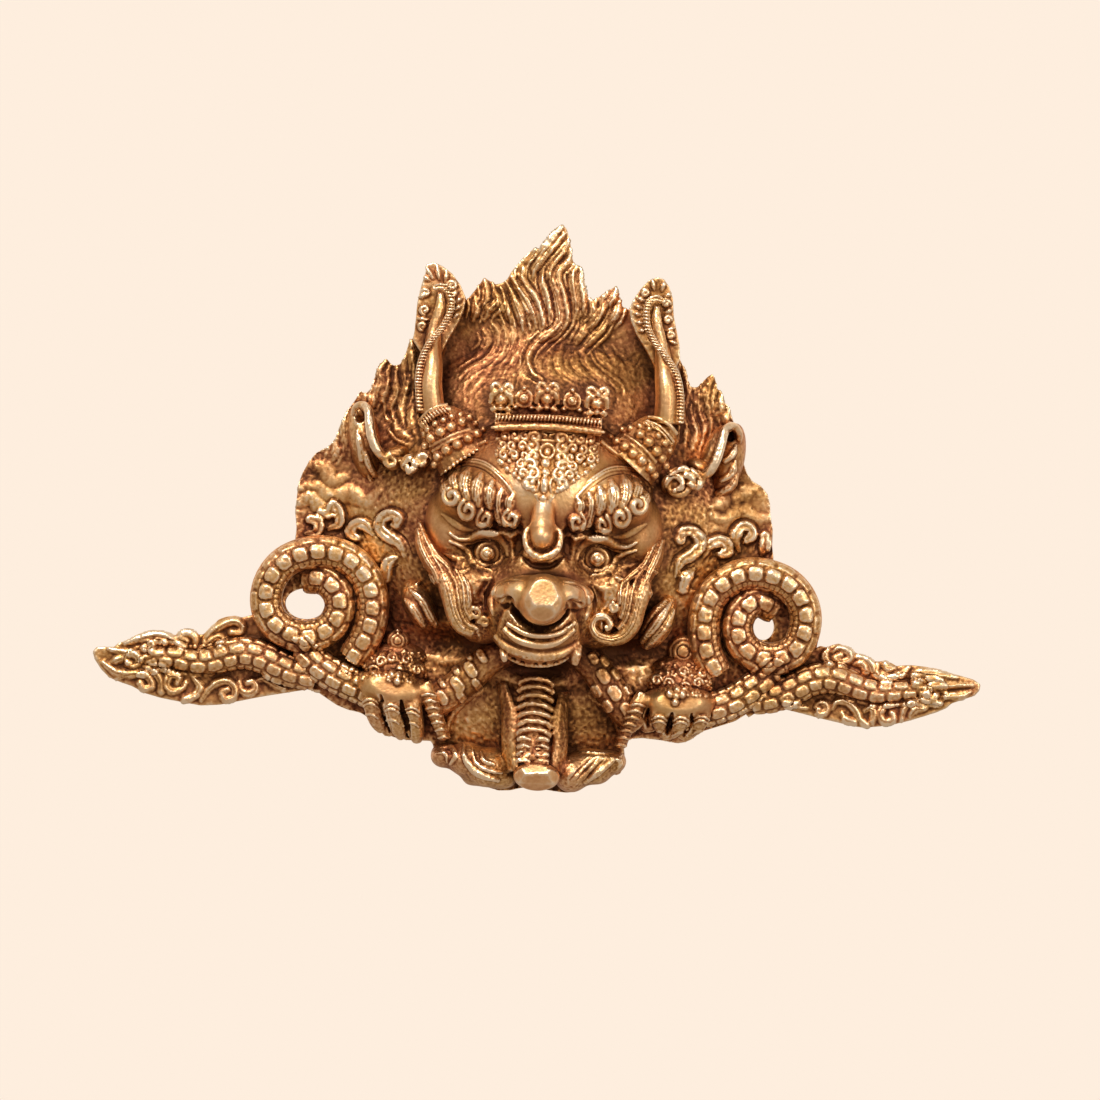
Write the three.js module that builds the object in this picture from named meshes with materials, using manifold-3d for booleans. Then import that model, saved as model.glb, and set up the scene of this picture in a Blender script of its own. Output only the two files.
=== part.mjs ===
// A cast brass wall relief of Garuda: a horned head in a halo of flames, with a crown, brows of curled
// locks and an open lower beak, holding a scaled serpent whose body coils once on each side and ends in a
// leafy tail. Millimetres, z up. The flat back lies in the plane y = 0 and the face looks along -y. The
// origin is on the back, on the centreline, just above the crown. "Proud" is how far a surface stands in
// front of the back.

import * as THREE from 'three';
import { mergeVertices } from 'three/addons/utils/BufferGeometryUtils.js';
import Module from 'manifold-3d';

// Driving sizes
const PLATE = 3.6; // thickness of the halo and of the tail leaves
const CREST = 7; // proud height of the flame ridges above the crown
const FIELD = 21; // where the ground swells to, around the head
const SKULL = 37; // forehead
const NOSE = 52; // tip of the beak's nose, the foremost point
const EYE = 35;
const LIP = 42;
const HORN_FOOT = 27;
const HORN_TIP = 20;
const CROWN = 31;
const COLLAR = 29;
const EAR = 19;
const HAND = 22;
const JAW = 20; // rim of the lower beak's bowls
const TONGUE = 26;
const COIL_TOP = 12.6;
const BODY = 4.6; // half the thickness of the serpent's body
const SCALE_PITCH = 11;
const WALL = 4.5; // metal left in front of the hollow back
const SMALLEST = 0.5; // details under this size are merged into their neighbours
const HEAD = { x: 0, z: -42, across: 31, up: 34 };

const wasm = await Module();
wasm.setup();

const FRONT = new THREE.Vector3(0, -1, 0);
const MERGE_WITHIN = 1e-4;
const spot = (x, z, proud) => new THREE.Vector3(x, -proud, z);
const sizeAt = (size, along) => (typeof size === 'function' ? size(along) : size);

function solid(geometry) {
  geometry.deleteAttribute('normal');
  geometry.deleteAttribute('uv');
  const merged = mergeVertices(geometry, MERGE_WITHIN);
  const vertProperties = Float32Array.from(merged.attributes.position.array);
  const triVerts = Uint32Array.from(merged.index.array);
  return new wasm.Manifold(new wasm.Mesh({ numProp: 3, vertProperties, triVerts }));
}

// Flat block with the given outline of [x, z] points, from one proud height to another
function slab(outline, low, high, holes = []) {
  const shape = new THREE.Shape(outline.map(([x, z]) => new THREE.Vector2(x, z)));
  shape.holes = holes;
  const geometry = new THREE.ExtrudeGeometry(shape, { depth: high - low, bevelEnabled: false });
  geometry.rotateX(Math.PI / 2);
  geometry.translate(0, -low, 0);
  return solid(geometry);
}

// Bar along a smooth line through [x, z, proud] points. Width and height are half sizes: a number, or a
// function of the way along from 0 to 1. Three sides give a ridge with its edge to the front.
function bar(points, width, height, sides = 3, steps = points.length) {
  const line = new THREE.CatmullRomCurve3(points.map(([x, z, proud]) => spot(x, z, proud)));
  const geometry = new THREE.CylinderGeometry(1, 1, 1, sides, steps);
  const corner = geometry.attributes.position;
  for (let i = 0; i < corner.count; i += 1) {
    const along = THREE.MathUtils.clamp(corner.getY(i) + 0.5, 0, 1);
    const ahead = line.getTangentAt(along);
    const across = ahead.clone().cross(FRONT).normalize();
    const outward = across.clone().cross(ahead);
    const place = line.getPointAt(along);
    place.addScaledVector(across, corner.getX(i) * sizeAt(width, along));
    place.addScaledVector(outward, corner.getZ(i) * sizeAt(height, along));
    corner.setXYZ(i, place.x, place.y, place.z);
  }
  return solid(geometry);
}

function ball(x, z, proud, across, up = across, out = across, round = 8) {
  const geometry = new THREE.SphereGeometry(1, round, Math.max(3, round / 2 - 1));
  geometry.scale(across, out, up);
  geometry.translate(x, -proud, z);
  return solid(geometry);
}

// Ridge that lies on the ground at one height and dies out at both ends
const fade = (half) => (along) => half * (0.25 + 0.75 * Math.sin(Math.PI * along));
const ridge = (points, proud, half = 1.2, rise = 2.6) =>
  bar(points.map(([x, z]) => [x, z, proud - rise]), fade(half), fade(rise));

// Ridge that ends in a small rolled bead
function curl(points, proud, half = 1.1, bead = 1.5) {
  const [x, z] = points[points.length - 1];
  return [ridge(points, proud, half), ball(x, z, proud - 2 * bead, bead, bead, 2.2 * bead, 5)];
}

const flip = (points) => points.map(([x, ...rest]) => [-x, ...rest]);
const onBothSides = (make) => [make((points) => points, 1), make(flip, -1)].flat();
const join = (parts) => parts.flat(Infinity).reduce((whole, part) => whole.add(part));

// Halo: one flat casting with flame tips along the top and sides, the coils' round backs and the leaves
// of the tails

const leftLeaf = [
  [-38.8, 11.5], [-38.4, 19.5], [-36.9, 26], [-36.3, 30.3], [-34.5, 30.9], [-32, 30.1], [-29, 28],
  [-26.5, 24.8], [-24.7, 21.2],
];
const rightLeaf = [
  [20, 20.9], [22, 23.3], [24, 26.5], [26, 28.8], [28.5, 29.8], [30.3, 29.3], [31.8, 27.3], [33, 24],
  [33.5, 19], [35.5, 11], [35.8, 7],
];
const crestEdge = [
  [-22, 24.4], [-20.1, 27.7], [-16.8, 26], [-13.8, 27.4], [-9.7, 33.7], [-6.8, 36.4], [-4.7, 36.5],
  [-2.9, 38.7], [1.2, 43.7], [2.8, 41.8], [4.1, 35.1], [5, 32.5], [6.6, 32.5], [7.8, 28.5], [9.1, 23.5],
  [10.7, 22.9], [13.5, 24.6], [17.1, 27.3], [17.8, 24.6],
];
const rightFlames = [
  [36.8, 5.9], [38.3, 1.5], [40.5, -0.6], [42, 0.5], [45.3, 3.7], [46.3, 2], [46.8, -0.3], [48, -1], [49, -4],
  [50.5, -5.3], [52, -10], [53.5, -11.8], [55, -20], [58, -25.8], [60.5, -27], [63.3, -32], [64.5, -43.6],
  [65.1, -48.4],
];
const rightCoilBack = [[70.6, -52.3], [76.5, -57.7], [78.9, -65], [79.5, -71.1]];
const rightTail = [
  [84.6, -70.2], [89.3, -72.5], [95.6, -74.8], [99.7, -75], [105.2, -75.3], [114.3, -76.6], [122.9, -78.5],
  [124.9, -79.8], [123.4, -83], [117, -85.5], [112.9, -88.2], [105.2, -91], [96.1, -93.1], [89.3, -93.2],
  [75.6, -90.5], [67.5, -89.1], [62.2, -90.8],
];
const rightHandEdge = [
  [52.9, -94.8], [46.4, -97.2], [42.9, -100], [35.2, -99.8], [27.2, -99.9], [25.8, -107.6],
];
const jawEdge = [
  [23.8, -110.3], [19.7, -110.3], [15.2, -113.9], [12.4, -115.6], [6.3, -115.6], [-2.6, -115.1],
  [-9.2, -116.2], [-15.3, -113.9], [-20.3, -110.7], [-25.3, -110.3],
];
const leftHandEdge = [
  [-28, -104.6], [-30.4, -103.2], [-39.1, -102.7], [-44.1, -100.4], [-49.1, -96.2], [-58.3, -92.9],
];
const leftTail = [
  [-63.7, -90.3], [-75.7, -92.8], [-88.5, -95.9], [-100.7, -95.5], [-109.8, -93.7], [-120, -89.8],
  [-124.4, -84.8], [-125, -82.8], [-121.6, -81.2], [-117.8, -79.8], [-112.5, -77.5], [-107.1, -76.2],
  [-102.1, -77], [-98.9, -75.6], [-94.4, -76.5], [-90, -71.9], [-85.7, -70.7], [-82.1, -70],
];
const leftCoilBack = [[-79.5, -61.8], [-75.2, -54], [-69.7, -48.9]];
const leftFlames = [
  [-70.1, -40.5], [-68.5, -29.5], [-65, -23.8], [-59.8, -19.5], [-57, -11.8], [-53.4, -5.7], [-51.8, -6.4],
  [-49.8, -3], [-48, 2], [-46.5, 3.7], [-43.8, 1.8], [-41.3, 4.5],
];
const halo = [
  leftLeaf, crestEdge, rightLeaf, rightFlames, rightCoilBack, rightTail, rightHandEdge, jawEdge, leftHandEdge,
  leftTail, leftCoilBack, leftFlames,
].flat();

const leftCoil = { x: -65.9, z: -66.4, eyeAcross: 5.7, eyeUp: 4.3 };
const rightCoil = { x: 63.1, z: -66.6, eyeAcross: 3, eyeUp: 3.7 };
const EYE_SIDES = 12;

// Open eye of a coil, an ellipse right through the casting
function coilEye({ x, z, eyeAcross, eyeUp }) {
  const edge = Array.from({ length: EYE_SIDES }, (_, i) => {
    const angle = (2 * Math.PI * i) / EYE_SIDES;
    return new THREE.Vector2(x + eyeAcross * Math.cos(angle), z + eyeUp * Math.sin(angle));
  });
  return new THREE.Path(edge);
}

function haloPlate() {
  return slab(halo, 0, PLATE, [coilEye(leftCoil), coilEye(rightCoil)]);
}

// Flames: long ridges that wind from the tips down to the crown

const crestLocks = [
  [[1, 42.5], [-3, 35.5], [-6.3, 30]],
  [[3, 39.2], [-1.2, 31.5], [0.5, 23.3], [1.4, 16], [-5.2, 9.2], [-6.6, 4], [-2, -0.3]],
  [[3.9, 36.9], [0.7, 29], [3, 20.5], [1.6, 13.7], [-2, 9.6]],
  [[6.6, 31.7], [5, 26.5], [6.2, 20.1], [5.7, 16.4]],
  [[-9.3, 31.5], [-7.9, 25.5], [-3.6, 17.5], [-3.6, 13], [-5.2, 10.5]],
  [[-13, 27.5], [-8.4, 22.4], [-4.9, 15.3]],
  [[-20, 26.9], [-19.4, 22], [-21.8, 17]],
  [[-17.2, 25], [-16.1, 21.5], [-19.5, 15.5]],
  [[-17, 15], [-15.3, 10.1], [-18.8, 4.2], [-24, 1]],
  [[0.8, 8.4], [-0.8, 4], [1.6, 0]],
  [[4.8, 7.6], [4.6, 2.8], [10.3, 0]],
  [[8.9, 8.4], [12.5, 2.4], [19, -3]],
  [[17.4, 26], [15.9, 18.5], [8, 8.3]],
  [[13.5, 24], [13, 18.5], [8.9, 13.6]],
  [[-9.5, 4], [-11.3, 0.5], [-11.5, -3.5]],
];
const sideLocks = [
  [[-46.8, 3], [-46.4, -4], [-47.5, -10], [-44, -16]],
  [[-41.8, 4], [-40, -4], [-43, -13]],
  [[-57.5, -14], [-56, -21], [-58.5, -28]],
  [[-65.5, -26], [-61, -31], [-63.5, -38]],
  [[45.2, 2.6], [44.5, -5], [40, -12]],
  [[37.3, 4.6], [39.5, -4], [38, -13]],
  [[50, -6.5], [47.5, -12], [50, -17]],
  [[61.5, -30], [57.5, -34], [60.5, -40]],
];
const cloudScrolls = [
  [[-42, -41], [-46, -43.5], [-42, -47.5], [-38.4, -52.5]],
  [[-47.5, -48.5], [-49.5, -43.2], [-54.5, -44.5]],
  [[40.4, -42.4], [44, -43.5], [40.6, -48.6], [37.6, -54.5]],
  [[45.2, -48.6], [47.5, -43.2], [52.4, -44.5]],
];

function flames() {
  const crest = crestLocks.map((lock) => ridge(lock, CREST));
  const sides = sideLocks.map((lock) => ridge(lock, CREST, 1.3));
  return [crest, sides];
}

function clouds() {
  return cloudScrolls.map((scroll) => curl(scroll, groundAt(scroll[1]) + 1.6, 1.3));
}

// Ground: a low dome that lifts the head off the halo
const DOME = { x: 0, z: -40, across: 50, up: 44 };
const groundAt = ([x, z]) => {
  const away = Math.hypot((x - DOME.x) / DOME.across, (z - DOME.z) / DOME.up);
  return PLATE + (FIELD - PLATE) * Math.sqrt(Math.max(0, 1 - away * away));
};

function ground() {
  const dome = ball(DOME.x, DOME.z, PLATE, DOME.across, DOME.up, FIELD - PLATE, 14);
  const chest = slab(
    [[-40, -66], [40, -66], [46, -84], [30, -92], [22, -106], [-22, -106], [-30, -92], [-46, -84]], 0, 9);
  return [dome, chest];
}

// Serpent: a scaled round body. Each scale widens it towards the tail and steps back at the next one.
const STEP = 0.2;
function scaled(points, half, height, sides = 6) {
  const line = new THREE.CatmullRomCurve3(points.map(([x, z, proud]) => spot(x, z, proud)));
  const scales = Math.round(line.getLength() / SCALE_PITCH);
  const swell = (along) => 1 - STEP + STEP * (((along * scales) % 1) + 0.5);
  const steps = scales * 2;
  return bar(points, (along) => sizeAt(half, along) * swell(along), height, sides, steps);
}

const RISE = COIL_TOP - BODY;
const leftRing = [
  [-63.2, -59.2, 5.2], [-57.2, -62.4, 6.6], [-57, -70.5, 6.8], [-65.5, -75.3, 6.8], [-75.5, -70.5, 6.8],
  [-75.8, -60, RISE], [-67, -52.3, RISE], [-54, -53.2, RISE], [-47, -63, RISE], [-48.8, -75, RISE],
  [-53.5, -81.5, 6.5],
];
const rightRing = [
  [63.2, -60, 5.2], [57.4, -62, 6.6], [58, -72.5, 6.8], [67.5, -75, 6.8], [74.3, -68, 6.8],
  [72.5, -57.5, RISE], [63, -51.9, RISE], [51.5, -54.5, RISE], [46.5, -63.5, RISE], [47.6, -74.5, RISE],
  [52.4, -81, 6.5],
];
const tailLine = [
  [42, -89.5, 11], [56, -87.6, 7], [66, -85.4, 5.4], [75, -81.8, 5], [82, -80.2, 4.8], [90, -82.2, 4.6],
  [99, -83.6, 4.2], [109.5, -82.8, 3.8],
];
const tailHalf = (along) => BODY * (1 - 0.66 * Math.max(0, along - 0.35) / 0.65);

function serpent() {
  const coils = [leftRing, rightRing].map((ring) => scaled(ring, BODY, BODY));
  const tails = onBothSides((side) => scaled(side(tailLine), tailHalf, tailHalf));
  const necks = onBothSides((side) =>
    scaled(side([[13.5, -78, 12], [18.5, -84, 12], [25.5, -91, 11]]), BODY, BODY));
  return [coils, tails, necks];
}

// Leaves of the tail: curled ridges along both edges of each tail
const tailCurls = [
  [[119.5, -80.6], [112, -80.6], [110.6, -84]],
  [[98.5, -79], [91.6, -75.4], [85.8, -73.8]],
  [[91, -91.8], [87.2, -86.8], [82, -88.8]],
  [[112.4, -86], [106.5, -86.6], [102.6, -90.2]],
];

function tailLeaves() {
  return onBothSides((side) => tailCurls.map((leaf) => curl(side(leaf), PLATE + 2.4, 1.1, 1.4)));
}

// Head: skull, cheeks and snout, with a nose rolled over the upper beak

function skull() {
  const round = ball(HEAD.x, HEAD.z, 10, HEAD.across, HEAD.up, SKULL - 10, 12);
  const snout = ball(0, -60, 18, 23, 14, 22, 10);
  return [round, snout];
}

function nose() {
  const bridge = bar([[0, -50, SKULL - 4], [0, -58, NOSE - 8], [0, -62, NOSE - 6]], 5, 5.5, 8);
  const bulb = ball(0, -62.6, NOSE - 6.2, 6.6, 5.6, 6.2, 8);
  const wings = onBothSides((_, side) => ball(side * 10, -60, 39.5, 4.6, 3.8, 6, 8));
  const folds = onBothSides((turn) =>
    bar(turn([[5.5, -55.8, 44], [11, -55.8, 42], [15, -60, 38], [15.4, -64, 36]]), 1.4, 1.8, 4, 4));
  return [bridge, bulb, wings, folds];
}

function lips() {
  const upper = bar([[-9.3, -70, 36], [0, -73.2, LIP - 1.4], [9.8, -70, 36]], 1.6, 4.6, 4, 4);
  const lower = bar([[-11, -73, 34], [0, -77, LIP - 2], [11.5, -73.4, 34]], 2.4, 3, 4, 4);
  const roof = ball(0, -70, 22, 13, 9, 17, 10);
  const folds = onBothSides((side) =>
    bar(side([[12.5, -65, 35], [14.4, -70, 33], [12.6, -75, 30]]), 1.8, 3, 3));
  const fangs = onBothSides((_, side) => ball(side * 9.8, -77, LIP - 10, 1.3, 3, 3, 6));
  return [upper, lower, roof, folds, fangs];
}

function eyes() {
  return onBothSides((turn, side) => [
    ball(side * 15.2, -49.8, EYE - 4.6, 7, 4.4, 4.2),
    ball(side * 15.2, -49.8, EYE - 1.4, 2.6, 2.6, 1.4, 6),
    bar(turn([[9.8, -49, 33], [13.5, -45.3, 36.5], [18.5, -46, 35.5], [24.5, -48.5, 31]]), 1.2, 1.8, 4, 4),
    bar(turn([[10.6, -52, 34], [15, -54, 35.5], [20, -52.4, 33.5], [24, -49.5, 30.5]]), 1.1, 1.6, 4, 4),
  ]);
}

// Brows: locks of hair that hang from the band and roll up above the eyes
const browLocks = [
  { top: [27, -26.5, 27], foot: [24.6, -34.4, 32], roll: 2 },
  { top: [23.5, -26, 30.5], foot: [20.6, -37.4, 35], roll: 2.1 },
  { top: [20, -27, 32], foot: [16.2, -39.3, 37], roll: 2.3 },
  { top: [16.5, -29, 34], foot: [12.6, -40.8, 38], roll: 1.9 },
  { top: [12.5, -31.5, 35.5], foot: [8.8, -39.2, 39], roll: 2.1 },
];
const LOCK_BULGE = 2;

function brows() {
  const ridges = onBothSides((turn) =>
    bar(turn([[30, -32, 16], [22, -33.5, 25], [12, -36, 30], [0, -38, 31]]), 6.5, 6, 5, 3));
  const locks = onBothSides((turn, side) => browLocks.map(({ top, foot, roll }) => {
    const [x, z, proud] = top.map((value, i) => (value + foot[i]) / 2);
    const lock = bar(turn([top, [x + LOCK_BULGE, z, proud + 1], foot]), 1.8, 3.6);
    return [lock, ball(side * foot[0], foot[1], foot[2] - 2, roll, roll, 3.6, 6)];
  }));
  const creases = onBothSides((turn) =>
    bar(turn([[26.5, -24.8, 25], [17, -24, 31], [8.6, -33, 36]]), 1.4, 3, 3, 4));
  return [ridges, locks, creases];
}

function thirdEye() {
  const pearl = ball(0, -44.2, SKULL + 2, 3.3, 4.2, 5, 10);
  const setting = bar([[-5, -41, SKULL - 1], [-3.4, -49.4, SKULL], [0, -51.4, SKULL + 0.6],
    [3.4, -49.4, SKULL], [5, -41, SKULL - 1]], 0.9, 2, 6, 8);
  return [pearl, setting];
}

// Forehead jewel: a pointed plate with a drop, edged with beads
function jewel() {
  const plate = slab([[-14, -17.7], [14, -17.7], [9.5, -27.2], [0, -35.4], [-9.5, -27.2]], 24, SKULL + 0.6);
  const medals = [[-20.8, 2.4], [-24.4, 1.4], [-29.6, 1.9], [-33.8, 1.1]].map(([z, half]) =>
    ball(0, z, SKULL, half, half, 2.4, 6));
  const sideMedals = onBothSides((_, side) => [[4.6, -20.8, 1.4], [9, -20.3, 1.6]].map(
    ([x, z, half]) => ball(side * x, z, SKULL, half, half, 2, 6)));
  return [plate, medals, sideMedals];
}

// Crown: a rope band under a cornice, with rosettes and buttons standing on it
const ROSETTES = [-13.4, -7, -0.4, 6.3, 13.2];

function crown() {
  const band = slab([[-17.5, -15.5], [16.5, -15.5], [15.6, -2.4], [-17, -2.4]], 6, CROWN - 3);
  const rope = bar([[-15, -11, CROWN - 2], [0, -10.2, CROWN], [15, -11, CROWN - 2]], 1.2, 1.6, 6, 6);
  const edge = [[-16, -14.4, CROWN - 2], [0, -13.8, CROWN + 0.6], [16, -14.4, CROWN - 2]];
  const cornice = bar(edge, 1.6, 2, 6, 6);
  const rosettes = ROSETTES.map((x, i) => {
    if (i % 2) {
      return ball(x, -6.2, CROWN - 3, 1.9, 1.9, 3, 6);
    }
    const curls = [-1, 1].map((side) => {
      const [out, tip] = [x + side * 2.6, x + side * 1.8];
      return bar([[x, -4.6, CROWN - 3], [out, -3.4, CROWN - 3], [tip, -1.4, CROWN - 5]], 0.8, 1.4);
    });
    return [ball(x, -6.4, CROWN - 3, 2.6, 2.6, 3.2, 6), curls];
  });
  return [band, rope, cornice, rosettes];
}

// Collars: rows of beads that run from the crown's ends down to the ears
const collarRows = [
  { from: [21.5, -17.2], to: [30.3, -23.4], size: 1.9 },
  { from: [24.6, -13.8], to: [33, -19.4], size: 1.9 },
];
const BEADS = 3;

function collars() {
  return onBothSides((turn, side) => {
    const padEdge = [[18, -10], [29, -8], [37, -14], [35, -24], [24, -25], [17, -18.5]];
    const pad = slab(turn(padEdge), 0, COLLAR - 4);
    const beads = collarRows.map(({ from, to, size }) => Array.from({ length: BEADS }, (_, i) => {
      const along = i / (BEADS - 1);
      const x = THREE.MathUtils.lerp(from[0], to[0], along);
      const z = THREE.MathUtils.lerp(from[1], to[1], along);
      return ball(side * x, z, COLLAR - 4, size, size, 3.6, 6);
    }));
    const ridges = [
      bar(turn([[22.5, -14.6, COLLAR - 1.6], [28, -17, COLLAR - 2.4], [34, -21, COLLAR - 4.6]]), 0.7, 1.6),
      bar(turn([[15.5, -17.6, COLLAR + 2], [23.5, -22.4, COLLAR], [30, -28.4, COLLAR - 4]]), 0.9, 2.4),
    ];
    return [pad, beads, ridges];
  });
}

// Horns: round at the foot, bowed out, with a leaf at the tip whose sides run back to the halo
const leftHorn = [
  [-34.5, -11, HORN_FOOT], [-36.6, -3, HORN_FOOT], [-34.4, 6, 25], [-30.2, 14, 22], [-29, 19.5, HORN_TIP],
  [-31.4, 23.8, HORN_TIP - 1],
];
const rightHorn = [
  [34.5, -11, HORN_FOOT], [36, -3, HORN_FOOT], [33.4, 6, 25], [28.2, 12.6, 22], [25.9, 18.5, HORN_TIP],
  [28.2, 23.4, HORN_TIP - 1],
];
const hornSide = (line) => line.map(([x, z, proud]) => [x, z, proud / 2 - 1]);

function horns() {
  const bodies = [leftHorn, rightHorn].map((line) => [
    bar(hornSide(line), (along) => 4.4 - 1.8 * along, (along) => HORN_FOOT / 2 - 3.4 * along, 5, 5),
    bar(line.map(([x, z, proud]) => [x, z, proud - 2]), (along) => 2 - 0.9 * along, 3, 3, 6),
  ]);
  const leaves = [
    slab([...leftLeaf, [-27.5, 15], [-31, 8], [-38, 6]], 0, HORN_TIP - 5),
    slab([...rightLeaf, [31, 6], [26, 10], [21.6, 16.5]], 0, HORN_TIP - 5),
  ];
  const flutes = [
    ridge([[-37.4, 12.5], [-34.4, 18], [-33.6, 28.5]], HORN_TIP - 3),
    ridge([[-26.4, 19], [-27.6, 23], [-31.5, 28.5]], HORN_TIP - 3),
    ridge([[34.4, 11], [31.4, 17.5], [31.6, 26]], HORN_TIP - 3),
    ridge([[22.6, 21], [23.6, 24], [28, 28.6]], HORN_TIP - 3),
  ];
  return [bodies, leaves, flutes];
}

// Ears: pointed animal ears with a rolled rim and a curl of hair behind the jaw
function ears() {
  return onBothSides((turn, side) => {
    const swell = (least, most) => (along) => least + most * Math.sin(Math.PI * along);
    const shell = bar(turn([[50, -10.5, 10], [50.4, -19, 10.5], [47.6, -30, 10]]),
      swell(0.6, 3), swell(2, EAR - 12), 6, 4);
    const rim = bar(turn([[50.4, -10.4, 13], [48, -17, EAR], [44.6, -25, EAR]]), 1.2, 2.6, 4, 4);
    const back = bar(turn([[43.5, -14.5, 12], [41.5, -20, 15], [40.5, -26, 16]]), 3.4, 5, 6, 3);
    const knots = [
      ball(side * 41.5, -26.2, EAR - 3, 2.2, 2, 4, 6),
      ball(side * 36, -27.6, EAR - 2, 2.2, 2, 5, 6),
    ];
    return [shell, rim, back, knots];
  });
}

// Whiskers: one big comma of hair on each cheek, rolled in at the mouth's corner
function whiskers() {
  return onBothSides((turn, side) => [
    bar(turn([[34, -43, 17], [30.6, -51.5, 24], [24.6, -57, 30], [23, -65, 31], [21.6, -71.5, 30]]),
      (along) => 1 + 2.4 * Math.sin(Math.PI * Math.min(1, along * 0.8 + 0.1)), 5, 5, 5),
    curl(turn([[24, -69], [19, -72.8], [16, -70.4], [18, -67.4]]), 33, 1, 1.6),
    bar(turn([[34.5, -50, 16], [31, -60, 22], [31.6, -70, 17]]), 1.3, 3),
    bar(turn([[38.5, -57, 12], [35, -66, 15], [29.5, -74, 14]]), 2, 4),
  ]);
}

// Hands: three claws grip the serpent from below and the thumb presses on it from inside
const claws = [
  [[34.2, -87, HAND - 4], [34, -93, HAND - 5], [34, -99, 11]],
  [[39.8, -86.6, HAND - 4], [39.6, -93, HAND - 5], [38.4, -99.6, 11]],
  [[46.2, -86, HAND - 5], [46, -92, HAND - 6], [45, -97.4, 9]],
];

function hands() {
  return onBothSides((turn, side) => {
    const palm = slab(turn([[30, -79], [42, -78], [50, -82], [50, -92], [40, -97], [29, -96]]), 0, HAND - 7);
    const wrist = [[30.5, -81.6, HAND - 6], [40, -80.6, HAND - 4], [49.5, -83, HAND - 7]];
    const cuff = bar(turn(wrist), 2, 3, 6, 3);
    const grip = claws.map((claw) => bar(turn(claw), (along) => 2.4 - 0.6 * along, 5.5, 5, 3));
    const thumb = bar(turn([[29.5, -86.5, HAND - 6], [27, -94, HAND - 6], [24.4, -103.5, 11]]), 2, 5, 5, 4);
    const rings = [0, 1].map((i) => ball(side * (36.8 + 6 * i), -85.4, HAND - 6, 2.2, 2.2, 5, 6));
    return [palm, cuff, grip, thumb, rings];
  });
}

// Lower beak: two open bowls beside a ribbed tongue that hangs down and ends in a knob
const TONGUE_RIBS = 8;
const RIB = 0.8;

function lowerBeak() {
  const bowlEdge = [
    [9, -88, JAW - 3], [18, -88.5, JAW - 1], [23.4, -96, JAW], [20, -105, JAW - 3], [9.6, -109.4, JAW - 2],
  ];
  const bowls = onBothSides((turn) => [
    bar(turn(bowlEdge), 1.6, 4.5, 4, 6),
    bar(turn([[25.6, -103.6, 9], [20.6, -108.6, 10], [14, -112.6, 11], [8, -113, 12]]), 1.5, 4, 4, 4),
  ]);
  const lip = bar([[-19, -104.6, 12], [-12, -110.6, 14], [0, -111.6, 15], [12, -110.6, 14], [19, -104.6, 12]],
    3.4, 5, 6, 6);
  const trough = slab([[-9, -80], [9, -80], [9.4, -97], [6, -110], [-6, -110], [-9.4, -97]], 0, TONGUE - 9);
  const walls = onBothSides((turn) =>
    bar(turn([[6.6, -82, 20], [7, -92, 22], [6.6, -104, 21], [3.2, -110.4, 17]]), 1.6, 4, 4, 5));
  const ribbed = (along) => 4 + RIB * Math.cos(2 * Math.PI * TONGUE_RIBS * along);
  const tongue = bar([[0, -81, 20], [0, -90, TONGUE - 5], [0, -104, TONGUE - 6], [0, -109, 18]], 5, ribbed, 5,
    2 * TONGUE_RIBS);
  const knob = ball(0.6, -111.6, 18, 5.6, 3.2, 7, 8);
  return [bowls, lip, trough, walls, tongue, knob];
}

// Hollow behind the head, as a casting has, open at the flat back
function hollowBack() {
  const head = ball(HEAD.x, HEAD.z, 0, HEAD.across - 6, HEAD.up - 7, SKULL - WALL - 3, 12);
  const mouth = ball(0, -62, 0, 16, 12, 30, 8);
  return join([head, mouth]);
}

function frontOfBack() {
  const margin = 5;
  const edge = [[-130, -120], [130, -120], [130, 50], [-130, 50]];
  return slab(edge, 0, NOSE + margin);
}

function buildMask() {
  const relief = join([
    haloPlate(), ground(), flames(), clouds(), serpent(), tailLeaves(), skull(), nose(), lips(), eyes(),
    brows(), thirdEye(), jewel(), crown(), collars(), horns(), ears(), whiskers(), hands(), lowerBeak(),
  ]);
  const eyeCut = [leftCoil, rightCoil].map((coil) => {
    const edge = coilEye(coil).getPoints().map(({ x, y }) => [x, y]);
    return slab(edge, -1, COIL_TOP + 3);
  });
  const cut = relief.intersect(frontOfBack()).subtract(join([hollowBack(), eyeCut]));
  const [cast] = cut.simplify(SMALLEST).decompose().sort((a, b) => b.volume() - a.volume());
  const { vertProperties, triVerts } = cast.getMesh();
  const geometry = new THREE.BufferGeometry();
  geometry.setAttribute('position', new THREE.BufferAttribute(vertProperties, 3));
  geometry.setIndex(new THREE.BufferAttribute(triVerts, 1));
  geometry.computeVertexNormals();
  return geometry;
}

const brass = new THREE.MeshStandardMaterial({ color: 0xb8803f, metalness: 1, roughness: 0.45 });
const mask = new THREE.Mesh(buildMask(), brass);
mask.name = 'garuda_mask';

const part = new THREE.Group();
part.add(mask);

export default part;
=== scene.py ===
import math

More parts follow.
